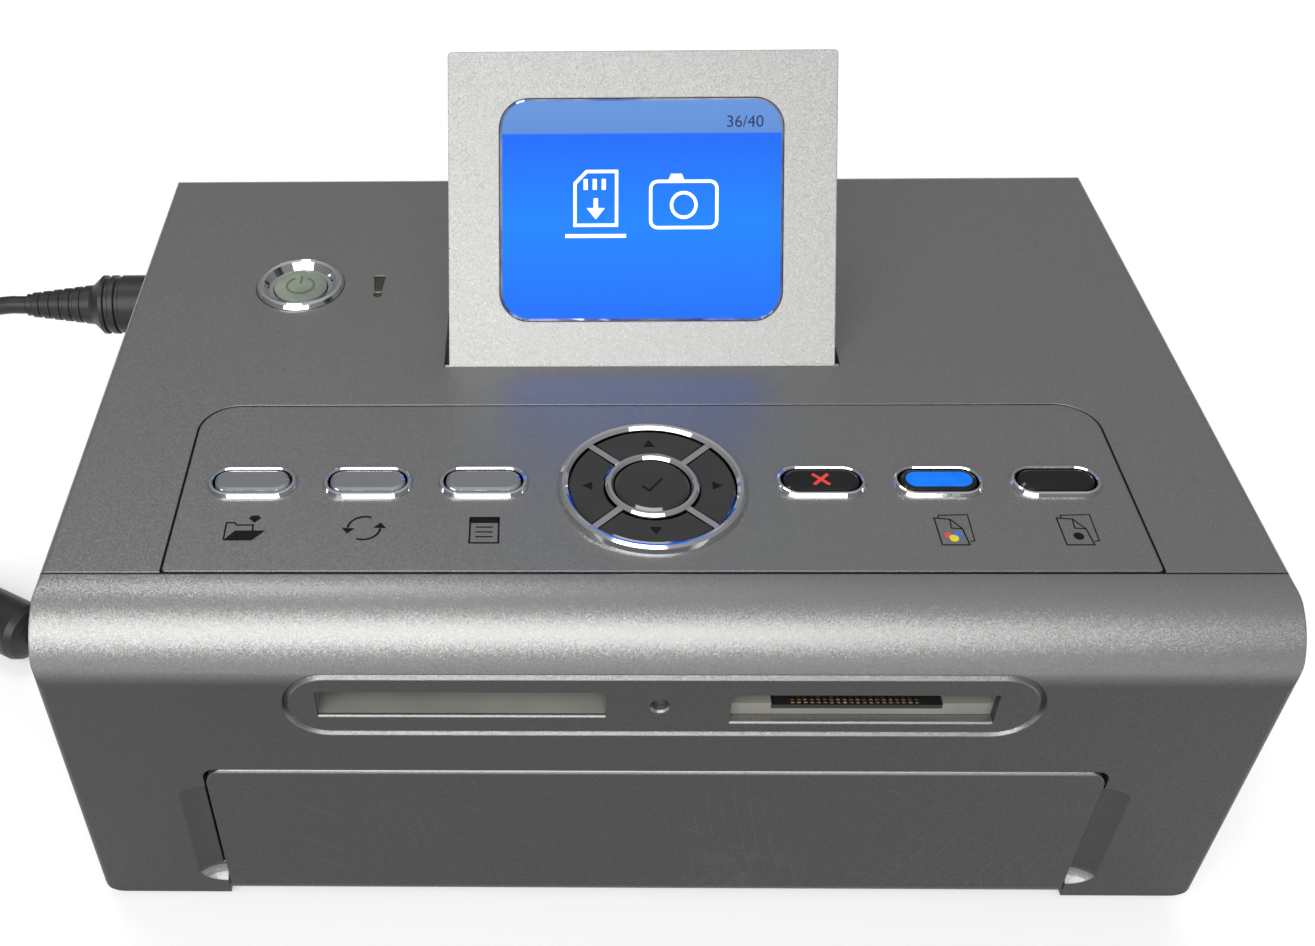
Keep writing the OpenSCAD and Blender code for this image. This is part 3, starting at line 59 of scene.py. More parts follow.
# ---------------------------------------------------------------------------------------------
# Power lead: soft black PVC on two stranded cores, 4 mm thick. It drops from the plug to the
# table, runs through its ferrite and along the left side, and is coiled behind the printer.
lead_d = 0.004
lead_drop = [
    (-135.2, 50, 51.4), (-137.4, 50, 51.4), (-139.6, 50, 51.4), (-144.6, 50, 50.4), (-149.8, 49.8, 47),
    (-154.4, 49.2, 41.6), (-158.4, 48.2, 34.8), (-162, 46.4, 27.6), (-165.2, 43.4, 20.6), (-168, 38.8, 14.4),
    (-170.2, 32.6, 9.4), (-171.2, 25.6, 6), (-170.4, 18.8, 4.6), (-167.4, 13.2, 4.8), (-163.6, 9.4, 5.8),
    (-160.4, 6.98, 6.4), (-157, 5.12, 6.4), (-153.3, 3.1, 6.4)]
lead_along = [
    (-128.7, -10.3, 6.4), (-125, -12.32, 6.4), (-120, -13.8, 5.6), (-114.7, -13.2, 4.3), (-110.1, -10.4, 3.1),
    (-107.1, -6.2, 2.4), (-106, -1, 2.1), (-106, 5, 2.1), (-106, 14, 2.1), (-106, 28, 2.1), (-106, 42, 2.1),
    (-106, 56, 2.1), (-106, 70, 2.1), (-106, 84, 2.1), (-106, 97, 2.1), (-106, 101.5, 2.1)]
lead_tail = [
    (-70.5, 137, 6.8), (-66.3, 137, 6.8), (-61.9, 136.6, 7), (-57.5, 135.4, 7.5), (-53.2, 133, 8.6),
    (-48.8, 129, 10.4), (-44.4, 125, 12.2), (-40.1, 122.6, 13.3), (-35.7, 121.4, 13.8), (-31.3, 121, 14),
    (-27, 121, 14)]
coil_at = Vector((-75, 106, 0))


def wound(turn):
    # Inwards on the lower layer of the coil, up, and outwards on the upper one
    rise = min(max((turn - 3.875) / 0.5, 0), 1)
    inward = turn if turn < 4.125 else 8.25 - turn
    r = 31 - 4.6 * inward
    a = math.radians(180 - 360 * turn)
    return coil_at + Vector((r * math.cos(a), r * math.sin(a), 2.1 + 4.7 * (3 - 2 * rise) * rise * rise))


def eased(points, steps):
    # Smooth curve through the points, with steps rings to each
    out = []
    for i in range(len(points) - 1):
        p = [Vector(points[min(max(i + k, 0), len(points) - 1)]) for k in (-1, 0, 1, 2)]
        for j in range(steps):
            t = j / steps
            out.append(0.5 * (2 * p[1] + (p[2] - p[0]) * t + (2 * p[0] - 5 * p[1] + 4 * p[2] - p[3]) * t * t
                              + (3 * p[1] - p[0] - 3 * p[2] + p[3]) * t ** 3))
    return out + [Vector(points[-1])]


coil_line = [wound(i / 32) for i in range(265)]
lead_line = eased(lead_drop, 3) + eased(lead_along, 3) + coil_line + eased(lead_tail, 3)
lead_line = [p / 1000 for p in lead_line]


def add_piece(name, bm, material, body):
    # Closes a piece's making: normals out, mesh and object, its finish and the body that it rides on
    bmesh.ops.recalc_face_normals(bm, faces=bm.faces)
    mesh = bpy.data.meshes.new(name)
    bm.to_mesh(mesh)
    bm.free()
    mesh.materials.append(material)
    piece = bpy.data.objects.new(name, mesh)
    bpy.context.collection.objects.link(piece)
    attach(piece, body)
    return piece


def drawn_out(bm, rings, closed=False):
    # Skin over rings of points: open ends are capped
    rings = [[bm.verts.new(p) for p in ring] for ring in rings]
    for a, b in zip(rings, rings[1:] + (rings[:1] if closed else [])):
        for k in range(len(a)):
            bm.faces.new((a[k], b[k], b[(k + 1) % len(a)], a[(k + 1) % len(a)])).smooth = True
    if not closed:
        bm.faces.new(rings[0])
        bm.faces.new(rings[-1][::-1])


def lead_rings(line, radius, sides):
    # Rings along the lead, each turned as little as possible from the one before it
    up = Vector((0.1, 0.2, 1))
    rings = []
    for i, p in enumerate(line):
        way = (line[min(i + 1, len(line) - 1)] - line[max(i - 1, 0)]).normalized()
        up = (up - way * up.dot(way)).normalized()
        side = way.cross(up)
        turns = [2 * math.pi * k / sides for k in range(sides)]
        rings.append([p + radius * (math.cos(a) * up + math.sin(a) * side) for a in turns])
    return rings


def new_material(name, colour, roughness):
    m = bpy.data.materials.new(name)
    m.use_nodes = True
    shader = m.node_tree.nodes["Principled BSDF"]
    shader.inputs["Base Color"].default_value = (*colour, 1)
    shader.inputs["Roughness"].default_value = roughness
    return m, m.node_tree, shader


def mottled(tree, shader, scale, low, high, socket="Base Color"):
    # Slow change of tone over a surface, from low to high
    place = tree.nodes.new("ShaderNodeTexCoord")
    patch = tree.nodes.new("ShaderNodeTexNoise")
    patch.inputs["Scale"].default_value = scale
    patch.inputs["Detail"].default_value = 4
    tone = tree.nodes.new("ShaderNodeValToRGB")
    tone.color_ramp.elements[0].position = 0.36
    tone.color_ramp.elements[0].color = (*low, 1)
    tone.color_ramp.elements[1].position = 0.68
    tone.color_ramp.elements[1].color = (*high, 1)
    tree.links.new(place.outputs["Object"], patch.inputs["Vector"])
    tree.links.new(patch.outputs["Fac"], tone.inputs["Fac"])
    tree.links.new(tone.outputs["Color"], shader.inputs[socket])


def grained(tree, shader, scale, strength, depth):
    # Fine relief, as the tool or the die leaves it; depth in metres
    place = tree.nodes.new("ShaderNodeTexCoord")
    grain = tree.nodes.new("ShaderNodeTexNoise")
    grain.inputs["Scale"].default_value = scale
    grain.inputs["Detail"].default_value = 2
    bump = tree.nodes.new("ShaderNodeBump")
    bump.inputs["Strength"].default_value = strength
    bump.inputs["Distance"].default_value = depth
    tree.links.new(place.outputs["Object"], grain.inputs["Vector"])
    tree.links.new(grain.outputs["Fac"], bump.inputs["Height"])
    tree.links.new(bump.outputs["Normal"], shader.inputs["Normal"])


def soft_pvc(name, colour, roughness):
    # Extruded and moulded PVC: fine dull grain, a few lighter rubbed patches
    m, tree, shader = new_material(name, colour, roughness)
    mottled(tree, shader, 90, colour, [c * 1.8 + 0.003 for c in colour])
    grained(tree, shader, 2600, 0.25, 0.00008)
    return m


def dress(material, *names):
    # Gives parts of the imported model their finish
    for n in names:
        parts[n].data.materials.clear()
        parts[n].data.materials.append(material)


pvc = soft_pvc("black_pvc", (0.012, 0.012, 0.013), 0.42)
bm = bmesh.new()
drawn_out(bm, lead_rings(lead_line, lead_d / 2, 14))
lead = add_piece("power_lead", bm, pvc, "casing")
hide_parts("lead_front", "lead_side", "lead_coil", "lead_tail")
dress(pvc, "dc_plug", "ferrite_choke", "lead_front", "lead_side", "lead_coil", "lead_tail")

# ---------------------------------------------------------------------------------------------
# Coil tie and adapter: a strap of hook-and-loop tape holds the coil's turns together. The adapter
# is two shells of black polycarbonate, textured by spark erosion and welded along the middle.
tie_w = 7
tie_t = 0.5
tie_angle = 62
tie_middle = 21.5
tie_half = 12.6
tie_top = 9.2


def rounded(w, h, r, steps=6, at=(0, 0)):
    # Points of a rectangle with round corners, anticlockwise
    out = []
    for k, (sx, sy) in enumerate(((1, 1), (-1, 1), (-1, -1), (1, -1))):
        for i in range(steps + 1):
            a = math.radians(90 * k + 90 * i / steps)
            out.append((at[0] + sx * (w / 2 - r) + r * math.cos(a),
                        at[1] + sy * (h / 2 - r) + r * math.sin(a)))
    return out


def woven_strap(name, colour):
    # Looped nylon pile: a fine weave across and along, dull, with lighter fuzz
    m, tree, shader = new_material(name, colour, 0.85)
    shader.inputs["Sheen Weight"].default_value = 0.3
    mottled(tree, shader, 1500, colour, [c * 2.2 for c in colour])
    grained(tree, shader, 4200, 0.6, 0.0002)
    return m


bm = bmesh.new()
around = Matrix.Translation(coil_at / 1000) @ Matrix.Rotation(math.radians(tie_angle), 4, "Z")
band = []
for y in (-tie_w / 2, -tie_w / 2 + 0.3, tie_w / 2 - 0.3, tie_w / 2):
    grow = 0.0 if abs(y) > tie_w / 2 - 0.1 else tie_t
    loop = rounded(2 * tie_half + grow, tie_top + grow - 0.3, 3.6, 8, (0, tie_top / 2 + 0.35))
    band.append([around @ (Vector((tie_middle + x, y, z)) / 1000) for x, z in loop])
drawn_out(bm, band)
tie = add_piece("coil_tie", bm, woven_strap("strap_nylon", (0.016, 0.016, 0.018)), "casing")


def moulded(name, colour, roughness):
    # Plain moulding with the fine spark-eroded grain of its tool
    m, tree, shader = new_material(name, colour, roughness)
    mottled(tree, shader, 60, [c * 0.88 for c in colour], [c * 1.08 for c in colour])
    grained(tree, shader, 3000, 0.3, 0.00005)
    return m


dress(moulded("adapter_shell", (0.014, 0.014, 0.015), 0.5), "power_adapter")

# ---------------------------------------------------------------------------------------------
# Casing: ABS mouldings under silver metal-flake lacquer, matt enough to spread the light, with
# flakes that catch it one by one. The same lacquer covers the key panel and the doors.


def flake_lacquer(name, colour, spread, lean, metal, roughness):
    # The faces get a darker colour and less metal the more upright they are: painted shade on the
    # walls, by slope; each cell is one flake with its own tone and its own lean.
    # The coat also rounds the moulding's sharp edges, which then catch the light
    m, tree, shader = new_material(name, colour, roughness)
    nodes, link = tree.nodes, tree.links.new
    shader.inputs["Specular IOR Level"].default_value = 0.25
    shader.inputs["Coat Weight"].default_value = 0.06
    shader.inputs["Coat Roughness"].default_value = 0.3
    place = nodes.new("ShaderNodeTexCoord")
    split = nodes.new("ShaderNodeSeparateXYZ")
    # Mask by the face's slope, 1 on flat faces and 0 on upright walls, for the painted wall shade
    level = nodes.new("ShaderNodeMapRange")
    level.interpolation_type = "SMOOTHSTEP"
    level.inputs["From Min"].default_value, level.inputs["From Max"].default_value = wall_shade_range
    turned = nodes.new("ShaderNodeVectorTransform")
    turned.vector_type = "NORMAL"
    turned.convert_from, turned.convert_to = "WORLD", "OBJECT"
    # Painted shade: upright walls get the darker wall colour, flat faces the full colour
    coat = nodes.new("ShaderNodeMix")
    coat.data_type = "RGBA"
    coat.inputs["A"].default_value = (*[c * wall_painted_shade for c in colour], 1)
    coat.inputs["B"].default_value = (*colour, 1)
    share = nodes.new("ShaderNodeMapRange")
    share.inputs["To Min"].default_value = metal * wall_shade_metal
    share.inputs["To Max"].default_value = metal
    flakes = nodes.new("ShaderNodeTexVoronoi")
    flakes.inputs["Scale"].default_value = flake_scale
    pick = nodes.new("ShaderNodeSeparateColor")
    tone = nodes.new("ShaderNodeMapRange")
    tone.inputs["To Min"].default_value = 1 - spread
    tone.inputs["To Max"].default_value = 1 + spread
    # Painted glints: the few flakes at the top of the cell range get a much lighter colour
    spark = nodes.new("ShaderNodeMapRange")
    spark.inputs["From Min"].default_value = 0.95
    spark.inputs["To Max"].default_value = 3 * spread
    total = nodes.new("ShaderNodeMath")
    paint = nodes.new("ShaderNodeVectorMath")
    paint.operation = "SCALE"
    centre = nodes.new("ShaderNodeVectorMath")
    centre.operation = "SUBTRACT"
    centre.inputs[1].default_value = (0.5, 0.5, 0.5)
    tip = nodes.new("ShaderNodeVectorMath")
    tip.operation = "SCALE"
    tip.inputs["Scale"].default_value = lean
    face = nodes.new("ShaderNodeBevel")
    face.inputs["Radius"].default_value = edge_r
    add = nodes.new("ShaderNodeVectorMath")
    unit = nodes.new("ShaderNodeVectorMath")
    unit.operation = "NORMALIZE"
    link(face.outputs["Normal"], turned.inputs["Vector"])
    link(turned.outputs["Vector"], split.inputs["Vector"])
    link(split.outputs["Z"], level.inputs["Value"])
    link(level.outputs["Result"], coat.inputs["Factor"])
    link(level.outputs["Result"], share.inputs["Value"])
    link(share.outputs["Result"], shader.inputs["Metallic"])
    link(place.outputs["Object"], flakes.inputs["Vector"])
    link(flakes.outputs["Color"], pick.inputs["Color"])
    link(pick.outputs["Red"], tone.inputs["Value"])
    link(pick.outputs["Green"], spark.inputs["Value"])
    link(tone.outputs["Result"], total.inputs[0])
    link(spark.outputs["Result"], total.inputs[1])
    link(coat.outputs["Result"], paint.inputs[0])
    link(total.outputs["Value"], paint.inputs["Scale"])
    link(paint.outputs["Vector"], shader.inputs["Base Color"])
    link(flakes.outputs["Color"], centre.inputs[0])
    link(centre.outputs["Vector"], tip.inputs[0])
    link(face.outputs["Normal"], add.inputs[0])
    link(tip.outputs["Vector"], add.inputs[1])
    link(add.outputs["Vector"], unit.inputs[0])
    link(unit.outputs["Vector"], shader.inputs["Normal"])
    return m, tree, paint, place, shader


silver_coat = dict(colour=(0.29, 0.293, 0.286), spread=0.12, lean=0.16, metal=0.8, roughness=0.37)
flake_scale = 6200
edge_r = 0.00035
# Slope range of the painted wall shade, and the walls' shares of colour and metal under it
wall_shade_range = (0.03, 0.48)
wall_painted_shade = 0.205
wall_shade_metal = 0.6
silver = flake_lacquer("silver_lacquer", **silver_coat)[0]
dress(silver, "top_cover", "front_fascia", "control_panel", "cartridge_door", "lcd_back")
dress(moulded("black_abs", (0.018, 0.018, 0.019), 0.55), "base_shell", "paper_tunnel", "exit_guide",
      "ribbon_cartridge")
dress(soft_pvc("foot_rubber", (0.02, 0.02, 0.02), 0.7), "rubber_feet")

# ---------------------------------------------------------------------------------------------
# Paper door: one lacquered ABS moulding on steel pins at its foot. Paper trays and fingers have
# left fine scratches and a greasy patch low on its face.
smudge_at = (0.017, -0.0695, 0.007)
smudge_r = 0.013


def worn_lacquer(name):
    m, tree, paint, place, shader = flake_lacquer(name, **silver_coat)
    nodes, link = tree.nodes, tree.links.new
    faint = []
    for turn, scale, seed in ((12, 130, 0.0), (-24, 90, 0.4), (61, 70, 0.9)):
        lay = nodes.new("ShaderNodeMapping")
        lay.inputs["Rotation"].default_value = (0, math.radians(turn), 0)
        lay.inputs["Location"].default_value = (seed, 0, 0)
        lines = nodes.new("ShaderNodeTexWave")
        lines.inputs["Scale"].default_value = scale
        lines.inputs["Distortion"].default_value = 2.2
        lines.inputs["Detail"].default_value = 1
        lines.inputs["Detail Scale"].default_value = 0.4
        thin = nodes.new("ShaderNodeMapRange")
        thin.inputs["From Min"].default_value = 0.997
        thin.inputs["From Max"].default_value = 1
        here = nodes.new("ShaderNodeTexNoise")
        here.inputs["Scale"].default_value = 60 + 20 * turn / 12
        gate = nodes.new("ShaderNodeMapRange")
        gate.inputs["From Min"].default_value = 0.57
        gate.inputs["From Max"].default_value = 0.66
        both = nodes.new("ShaderNodeMath")
        both.operation = "MULTIPLY"
        link(place.outputs["Object"], lay.inputs["Vector"])
        link(lay.outputs["Vector"], lines.inputs["Vector"])
        link(lines.outputs["Fac"], thin.inputs["Value"])
        link(lay.outputs["Vector"], here.inputs["Vector"])
        link(here.outputs["Fac"], gate.inputs["Value"])
        link(thin.outputs["Result"], both.inputs[0])
        link(gate.outputs["Result"], both.inputs[1])
        faint.append(both)
    total = faint[0]
    for f in faint[1:]:
        sum_node = nodes.new("ShaderNodeMath")
        sum_node.operation = "ADD"
        link(total.outputs["Value"], sum_node.inputs[0])
        link(f.outputs["Value"], sum_node.inputs[1])
        total = sum_node
    # The grease: a soft-edged patch that lightens the lacquer a little
    away = nodes.new("ShaderNodeVectorMath")
    away.operation = "DISTANCE"
    away.inputs[1].default_value = smudge_at
    ragged = nodes.new("ShaderNodeTexNoise")
    ragged.inputs["Scale"].default_value = 260
    ragged.inputs["Detail"].default_value = 5
    near = nodes.new("ShaderNodeMapRange")
    near.inputs["From Min"].default_value = smudge_r
    near.inputs["From Max"].default_value = 0.002
    patchy = nodes.new("ShaderNodeMapRange")
    patchy.inputs["From Min"].default_value = 0.46
    patchy.inputs["From Max"].default_value = 0.62
    grease = nodes.new("ShaderNodeMath")
    grease.operation = "MULTIPLY"
    link(place.outputs["Object"], away.inputs[0])
    link(away.outputs["Value"], near.inputs["Value"])
    link(place.outputs["Object"], ragged.inputs["Vector"])
    link(ragged.outputs["Fac"], patchy.inputs["Value"])
    link(near.outputs["Result"], grease.inputs[0])
    link(patchy.outputs["Result"], grease.inputs[1])
    wear = nodes.new("ShaderNodeMath")
    wear.operation = "MULTIPLY_ADD"
    wear.inputs[1].default_value = 0.35
    link(grease.outputs["Value"], wear.inputs[0])
    link(total.outputs["Value"], wear.inputs[2])
    lighter = nodes.new("ShaderNodeMix")
    lighter.data_type = "RGBA"
    lighter.clamp_factor = True
    lighter.inputs["B"].default_value = (0.11, 0.112, 0.108, 1)
    link(wear.outputs["Value"], lighter.inputs["Factor"])
    link(paint.outputs["Vector"], lighter.inputs["A"])
    link(lighter.outputs["Result"], shader.inputs["Base Color"])
    return m


dress(worn_lacquer("worn_lacquer"), "front_door")

# ---------------------------------------------------------------------------------------------
# Signs under the keys: black screen-printed ink on the lacquer, 0.03 mm thick, with three
# coloured dots on the colour copy sign.
panel_top = 0.0731
ink_t = 0.03


def stroke(points, width, closed=False):
    # A line of the given width, as four-sided areas with mitred joints
    points = [Vector(p) for p in points]
    n = len(points)
    edges = []
    for i, p in enumerate(points):
        after = (points[(i + 1) % n] - p).normalized() if i < n - 1 or closed else None
        before = (p - points[i - 1]).normalized() if i or closed else None
        way = ((before or after) + (after or before)).normalized()
        out = Vector((-way.y, way.x))
        one = after or before
        reach = width / 2 / max(out.dot(Vector((-one.y, one.x))), 0.45)
        edges.append((p + out * reach, p - out * reach))
    last = n if closed else n - 1
    return [(edges[i][1], edges[(i + 1) % n][1], edges[(i + 1) % n][0], edges[i][0]) for i in range(last)]


def arc(at, r, a0, a1, steps):
    turns = [math.radians(a0 + (a1 - a0) * i / steps) for i in range(steps + 1)]
    return [(at[0] + r * math.cos(a), at[1] + r * math.sin(a)) for a in turns]


def film(name, areas, lay, material, body, thick=ink_t):
    # Thin solid film over flat areas, whose points are in mm on the plane of lay
    bm = bmesh.new()
    for area in areas:
        bm.faces.new([bm.verts.new((p[0], p[1], 0)) for p in area])
    bm.normal_update()
    bmesh.ops.solidify(bm, geom=bm.faces[:], thickness=thick)
    low = min(v.co.z for v in bm.verts)
    for v in bm.verts:
        v.co = lay @ ((v.co - Vector((0, 0, low))) / 1000)
    return add_piece(name, bm, material, body)


def screen_ink(name, colour, roughness=0.55):
    # Ink pushed through a fine mesh: faint pinholes and an even tooth
    m, tree, shader = new_material(name, colour, roughness)
    shader.inputs["Specular IOR Level"].default_value = 0.12
    mottled(tree, shader, 1500, colour, [c * 1.2 + 0.003 for c in colour])
    grained(tree, shader, 3000, 0.1, 0.00002)
    return m


on_top = Matrix.Translation((0, 0, panel_top))
signs = []
# open folder with an arrow into it
signs += stroke([(-67.35, -46.3), (-67.4, -44.95), (-70.15, -44.95), (-70.6, -44.4), (-72.0, -44.4),
                 (-71.9, -48.5)], 0.3)
signs += [[(-71.95, -48.65), (-67.2, -48.65), (-65.2, -46.3), (-70.3, -46.3)],
          [(-67.3, -44.4), (-66.3, -43.3), (-66.8, -42.65), (-67.9, -42.65), (-68.4, -43.3)]]
# two arrows that chase each other round
for s in (1, -1):
    middle = Vector((-48.7, -45.7))
    signs += stroke([middle + s * Vector(p) for p in arc((0, 0), 2.75, 68, 178, 12)], 0.38)
    signs.append([middle + s * Vector(p) for p in ((-3.75, 0.05), (-2.75, -1.3), (-1.5, -0.1))])
# list in a window
signs += stroke([(-30.95, -49.25), (-26.15, -49.25), (-26.15, -43.2), (-30.95, -43.2)], 0.32, True)
signs.append([(-30.95, -44.5), (-26.15, -44.5), (-26.15, -43.2), (-30.95, -43.2)])
for y in (-45.5, -46.65, -47.8):
    signs += stroke([(-30, y), (-27.15, y)], 0.26)
# two sheets of paper, twice
for x in (0, 20.3):
    signs += stroke([(47.3 + x, -43.35), (47.45 + x, -42.7), (52.3 + x, -42.55), (52.2 + x, -48.8),
                     (51.45 + x, -48.9)], 0.2)
    signs += stroke([(46.6 + x, -43.35), (46.7 + x, -49.75), (51.2 + x, -49.75), (50.8 + x, -45.95),
                     (49.2 + x, -43.65)], 0.24, True)
    signs += stroke([(49.15 + x, -43.75), (49.0 + x, -45.8), (50.75 + x, -45.95)], 0.22)
signs.append(arc((69.45, -47.7), 0.85, 0, 345, 23))
black_ink = screen_ink("black_ink", (0.006, 0.006, 0.006))
film("key_signs", signs, on_top, black_ink, "casing")
for hue, at, r, lift, colour in (("red", (48.05, -47.5), 0.62, 0, (0.60, 0.07, 0.08)),
                                 ("blue", (49.75, -47.4), 0.72, 0, (0.05, 0.14, 0.55)),
                                 ("yellow", (48.95, -48.2), 0.78, 0.02, (0.62, 0.55, 0.03))):
    film("sign_dot_" + hue, [arc(at, r, 0, 345, 23)], Matrix.Translation((0, 0, panel_top + lift / 1000)),
         screen_ink(hue + "_ink", colour), "casing")

# ---------------------------------------------------------------------------------------------
# Display panel: its front moulding has the casing's lacquer, coarser and painted lighter, standing for the
# front light it faces. The window is acrylic with a polished bevel, flush on the screen, which glows blue
# under a paler status bar.
panel_tilt = 52.1
on_panel = Matrix.Translation((0, -0.0004, 0.072)) @ Matrix.Rotation(math.radians(panel_tilt), 4, "X")
window_size = (53.1, 41.4)
window_at = (-0.15, 29.4)
window_r = 5.45
window_face = 1.3
bevel_w = 0.42
screen_z = (0.0790, 0.1126)
bar_from = 0.84
figures_end = (22.7, 44.7)

# Painted light: a lighter copy of the casing's lacquer, for the front light on the bezel
dress(flake_lacquer("lit_copy_lacquer", (0.42, 0.42, 0.41), 0.2, 0.34, 0.5, 0.45)[0], "lcd_bezel")


def lit_screen(name):
    # Light of the panel behind the acrylic: part glows, part is what the front light gives back
    m, tree, shader = new_material(name, (0, 0.05, 0.4), 0.06)
    nodes, link = tree.nodes, tree.links.new
    place = nodes.new("ShaderNodeTexCoord")
    split = nodes.new("ShaderNodeSeparateXYZ")
    span = nodes.new("ShaderNodeMapRange")
    span.inputs["From Min"].default_value, span.inputs["From Max"].default_value = screen_z
    tone = nodes.new("ShaderNodeValToRGB")
    tone.color_ramp.elements[0].color = (0.0, 0.125, 1.0, 1)
    tone.color_ramp.elements[1].color = (0.11, 0.25, 0.60, 1)
    for at, colour in ((0.45, (0.0, 0.19, 1.0)), (bar_from - 0.002, (0.0, 0.115, 0.92)),
                       (bar_from + 0.002, (0.095, 0.225, 0.56))):
        tone.color_ramp.elements.new(at).color = (*colour, 1)
    half = nodes.new("ShaderNodeMix")
    half.data_type = "RGBA"
    half.inputs["Factor"].default_value = 0.3
    half.inputs["B"].default_value = (0, 0, 0, 1)
    link(place.outputs["Object"], split.inputs["Vector"])
    link(split.outputs["Z"], span.inputs["Value"])
    link(span.outputs["Result"], tone.inputs["Fac"])
    link(tone.outputs["Color"], shader.inputs["Emission Color"])
    link(tone.outputs["Color"], half.inputs["A"])
    link(half.outputs["Result"], shader.inputs["Base Color"])
    shader.inputs["Emission Strength"].default_value = 0.42
    shader.inputs["Specular IOR Level"].default_value = 0.08
    return m


def polished_edge(name):
    # Bevel of clear acrylic drawn as blue metal: its blue is painted light of the screen, its lighter and
    # darker patches are painted reflections, and the metal reflects the room
    m, tree, shader = new_material(name, (0.3, 0.38, 0.62), 0.04)
    shader.inputs["Metallic"].default_value = 0.75
    mottled(tree, shader, 120, (0.16, 0.24, 0.55), (0.62, 0.68, 0.85))
    return m


bm = bmesh.new()
w, h = window_size
steps = ((0, -0.35), (0, window_face - 0.2), (bevel_w, window_face))
outlines = [(z, rounded(w - 2 * d, h - 2 * d, window_r - d, 10, window_at)) for d, z in steps]
drawn_out(bm, [[on_panel @ (Vector((x, y, z)) / 1000) for x, y in outline] for z, outline in outlines])
bmesh.ops.recalc_face_normals(bm, faces=bm.faces)
bm.faces.ensure_lookup_table()
out = (on_panel.to_3x3() @ Vector((0, 0, 1))).normalized()
for f in bm.faces:
    f.smooth = False
    f.material_index = 0 if len(f.verts) > 4 and f.normal.dot(out) > 0.9 else 1
window = add_piece("display_window", bm, lit_screen("lit_screen"), "display")
window.data.materials.append(polished_edge("polished_edge"))
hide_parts("lcd_window")

on_screen = on_panel @ Matrix.Translation((0, 0, window_face / 1000))


def screen_dots(name, colour, glow):
    # Lit or dark picture dots of the display, in their fine grid
    m, tree, shader = new_material(name, colour, 0.06)
    shader.inputs["Specular IOR Level"].default_value = 0.08
    mottled(tree, shader, 1600, [c * 0.93 for c in colour], colour)
    shader.inputs["Emission Color"].default_value = (*colour, 1)
    shader.inputs["Emission Strength"].default_value = glow
    return m


figures = bpy.data.curves.new("figures", "FONT")
figures.body = "36/40"
figures.size = 3.1
figures.align_x = "RIGHT"
writing = bpy.data.objects.new("figures", figures)
bpy.context.collection.objects.link(writing)
bpy.context.view_layer.update()
plain = bpy.data.meshes.new_from_object(writing.evaluated_get(bpy.context.evaluated_depsgraph_get()))
bpy.data.objects.remove(writing)
bm = bmesh.new()
bm.from_mesh(plain)
bpy.data.meshes.remove(plain)
bmesh.ops.remove_doubles(bm, verts=bm.verts, dist=0.0005)
bm.normal_update()
bmesh.ops.solidify(bm, geom=bm.faces[:], thickness=0.02)
low = min(v.co.z for v in bm.verts)
for v in bm.verts:
    v.co = on_screen @ (Vector((v.co.x + figures_end[0], v.co.y + figures_end[1], v.co.z - low)) / 1000)
add_piece("status_figures", bm, screen_dots("dark_dots", (0.01, 0.03, 0.10), 0.1), "display")

# A memory card that goes down into its slot, and a camera
call = stroke([(-12.6, 26.6), (-4.8, 26.6), (-4.8, 36.6), (-10.4, 36.6), (-12.6, 34.4)], 0.6, True)
for x in (-10.6, -8.9, -7.2):
    call += stroke([(x, 35.2), (x, 33.2)], 0.75)
call += stroke([(-8.7, 31.6), (-8.7, 29.6)], 0.8) + [[(-10.4, 29.8), (-8.7, 27.7), (-7.0, 29.8)]]
call += stroke([(-14.4, 24.6), (-3.0, 24.6)], 0.7)
call += stroke(rounded(12.4, 8.6, 1.3, 5, (7.8, 30.4)), 0.6, True)
call += [[(4.9, 34.9), (7.9, 34.9), (7.4, 36.1), (5.4, 36.1)]]
call += stroke(arc((7.8, 30.3), 2.3, 0, 345, 23), 0.6, True)
film("call_sign", call, on_screen, screen_dots("white_dots", (0.82, 0.95, 1.0), 0.7), "display", 0.02)
dress(moulded("module_frame", (0.05, 0.05, 0.052), 0.4), "lcd_module")

# ---------------------------------------------------------------------------------------------
# Keys: chrome-plated ABS rims, ring and cross. The keys are gloss mouldings: three plated, three
# black, of which one carries a blue film, and four black quarters round a black hub.


def plated(name, colour, roughness):
    # Bright plating: its polish varies a little, and it is not quite flat
    m, tree, shader = new_material(name, colour, roughness)
    shader.inputs["Metallic"].default_value = 1
    haze = (roughness * 0.5,) * 3, (roughness * 1.6,) * 3
    mottled(tree, shader, 500, *haze, socket="Roughness")
    grained(tree, shader, 260, 0.10, 0.00012)
    return m


def gloss(name, colour, shine=0.2, coat=0.4):
    # Injection-moulded gloss black or colour under a hard clear coat
    m, tree, shader = new_material(name, colour, 0.10)
    shader.inputs["Specular IOR Level"].default_value = shine
    shader.inputs["Coat Weight"].default_value = coat
    shader.inputs["Coat Roughness"].default_value = 0.03
    mottled(tree, shader, 150, colour, [c * 1.5 + 0.001 for c in colour])
    grained(tree, shader, 240, 0.06, 0.0001)
    return m


chrome = plated("chrome_plate", (0.80, 0.81, 0.84), 0.06)
dress(chrome, "key_rims", "pad_ring", "power_ring")
dress(plated("silver_key", (0.60, 0.62, 0.67), 0.09), "folder_key", "rotate_key", "menu_key")
dress(gloss("black_key", (0.006, 0.006, 0.007)), "cancel_key", "mono_copy_key", "colour_copy_key")
dress(gloss("mirror_black", (0.008, 0.008, 0.009), 1.0, 0.8), "pad_up_key", "pad_left_key", "pad_down_key",
      "pad_right_key", "pad_centre_key")
dress(gloss("power_key_top", (0.19, 0.215, 0.175)), "power_key")
dress(gloss("smoked_lens", (0.035, 0.03, 0.022)), "alert_lens")

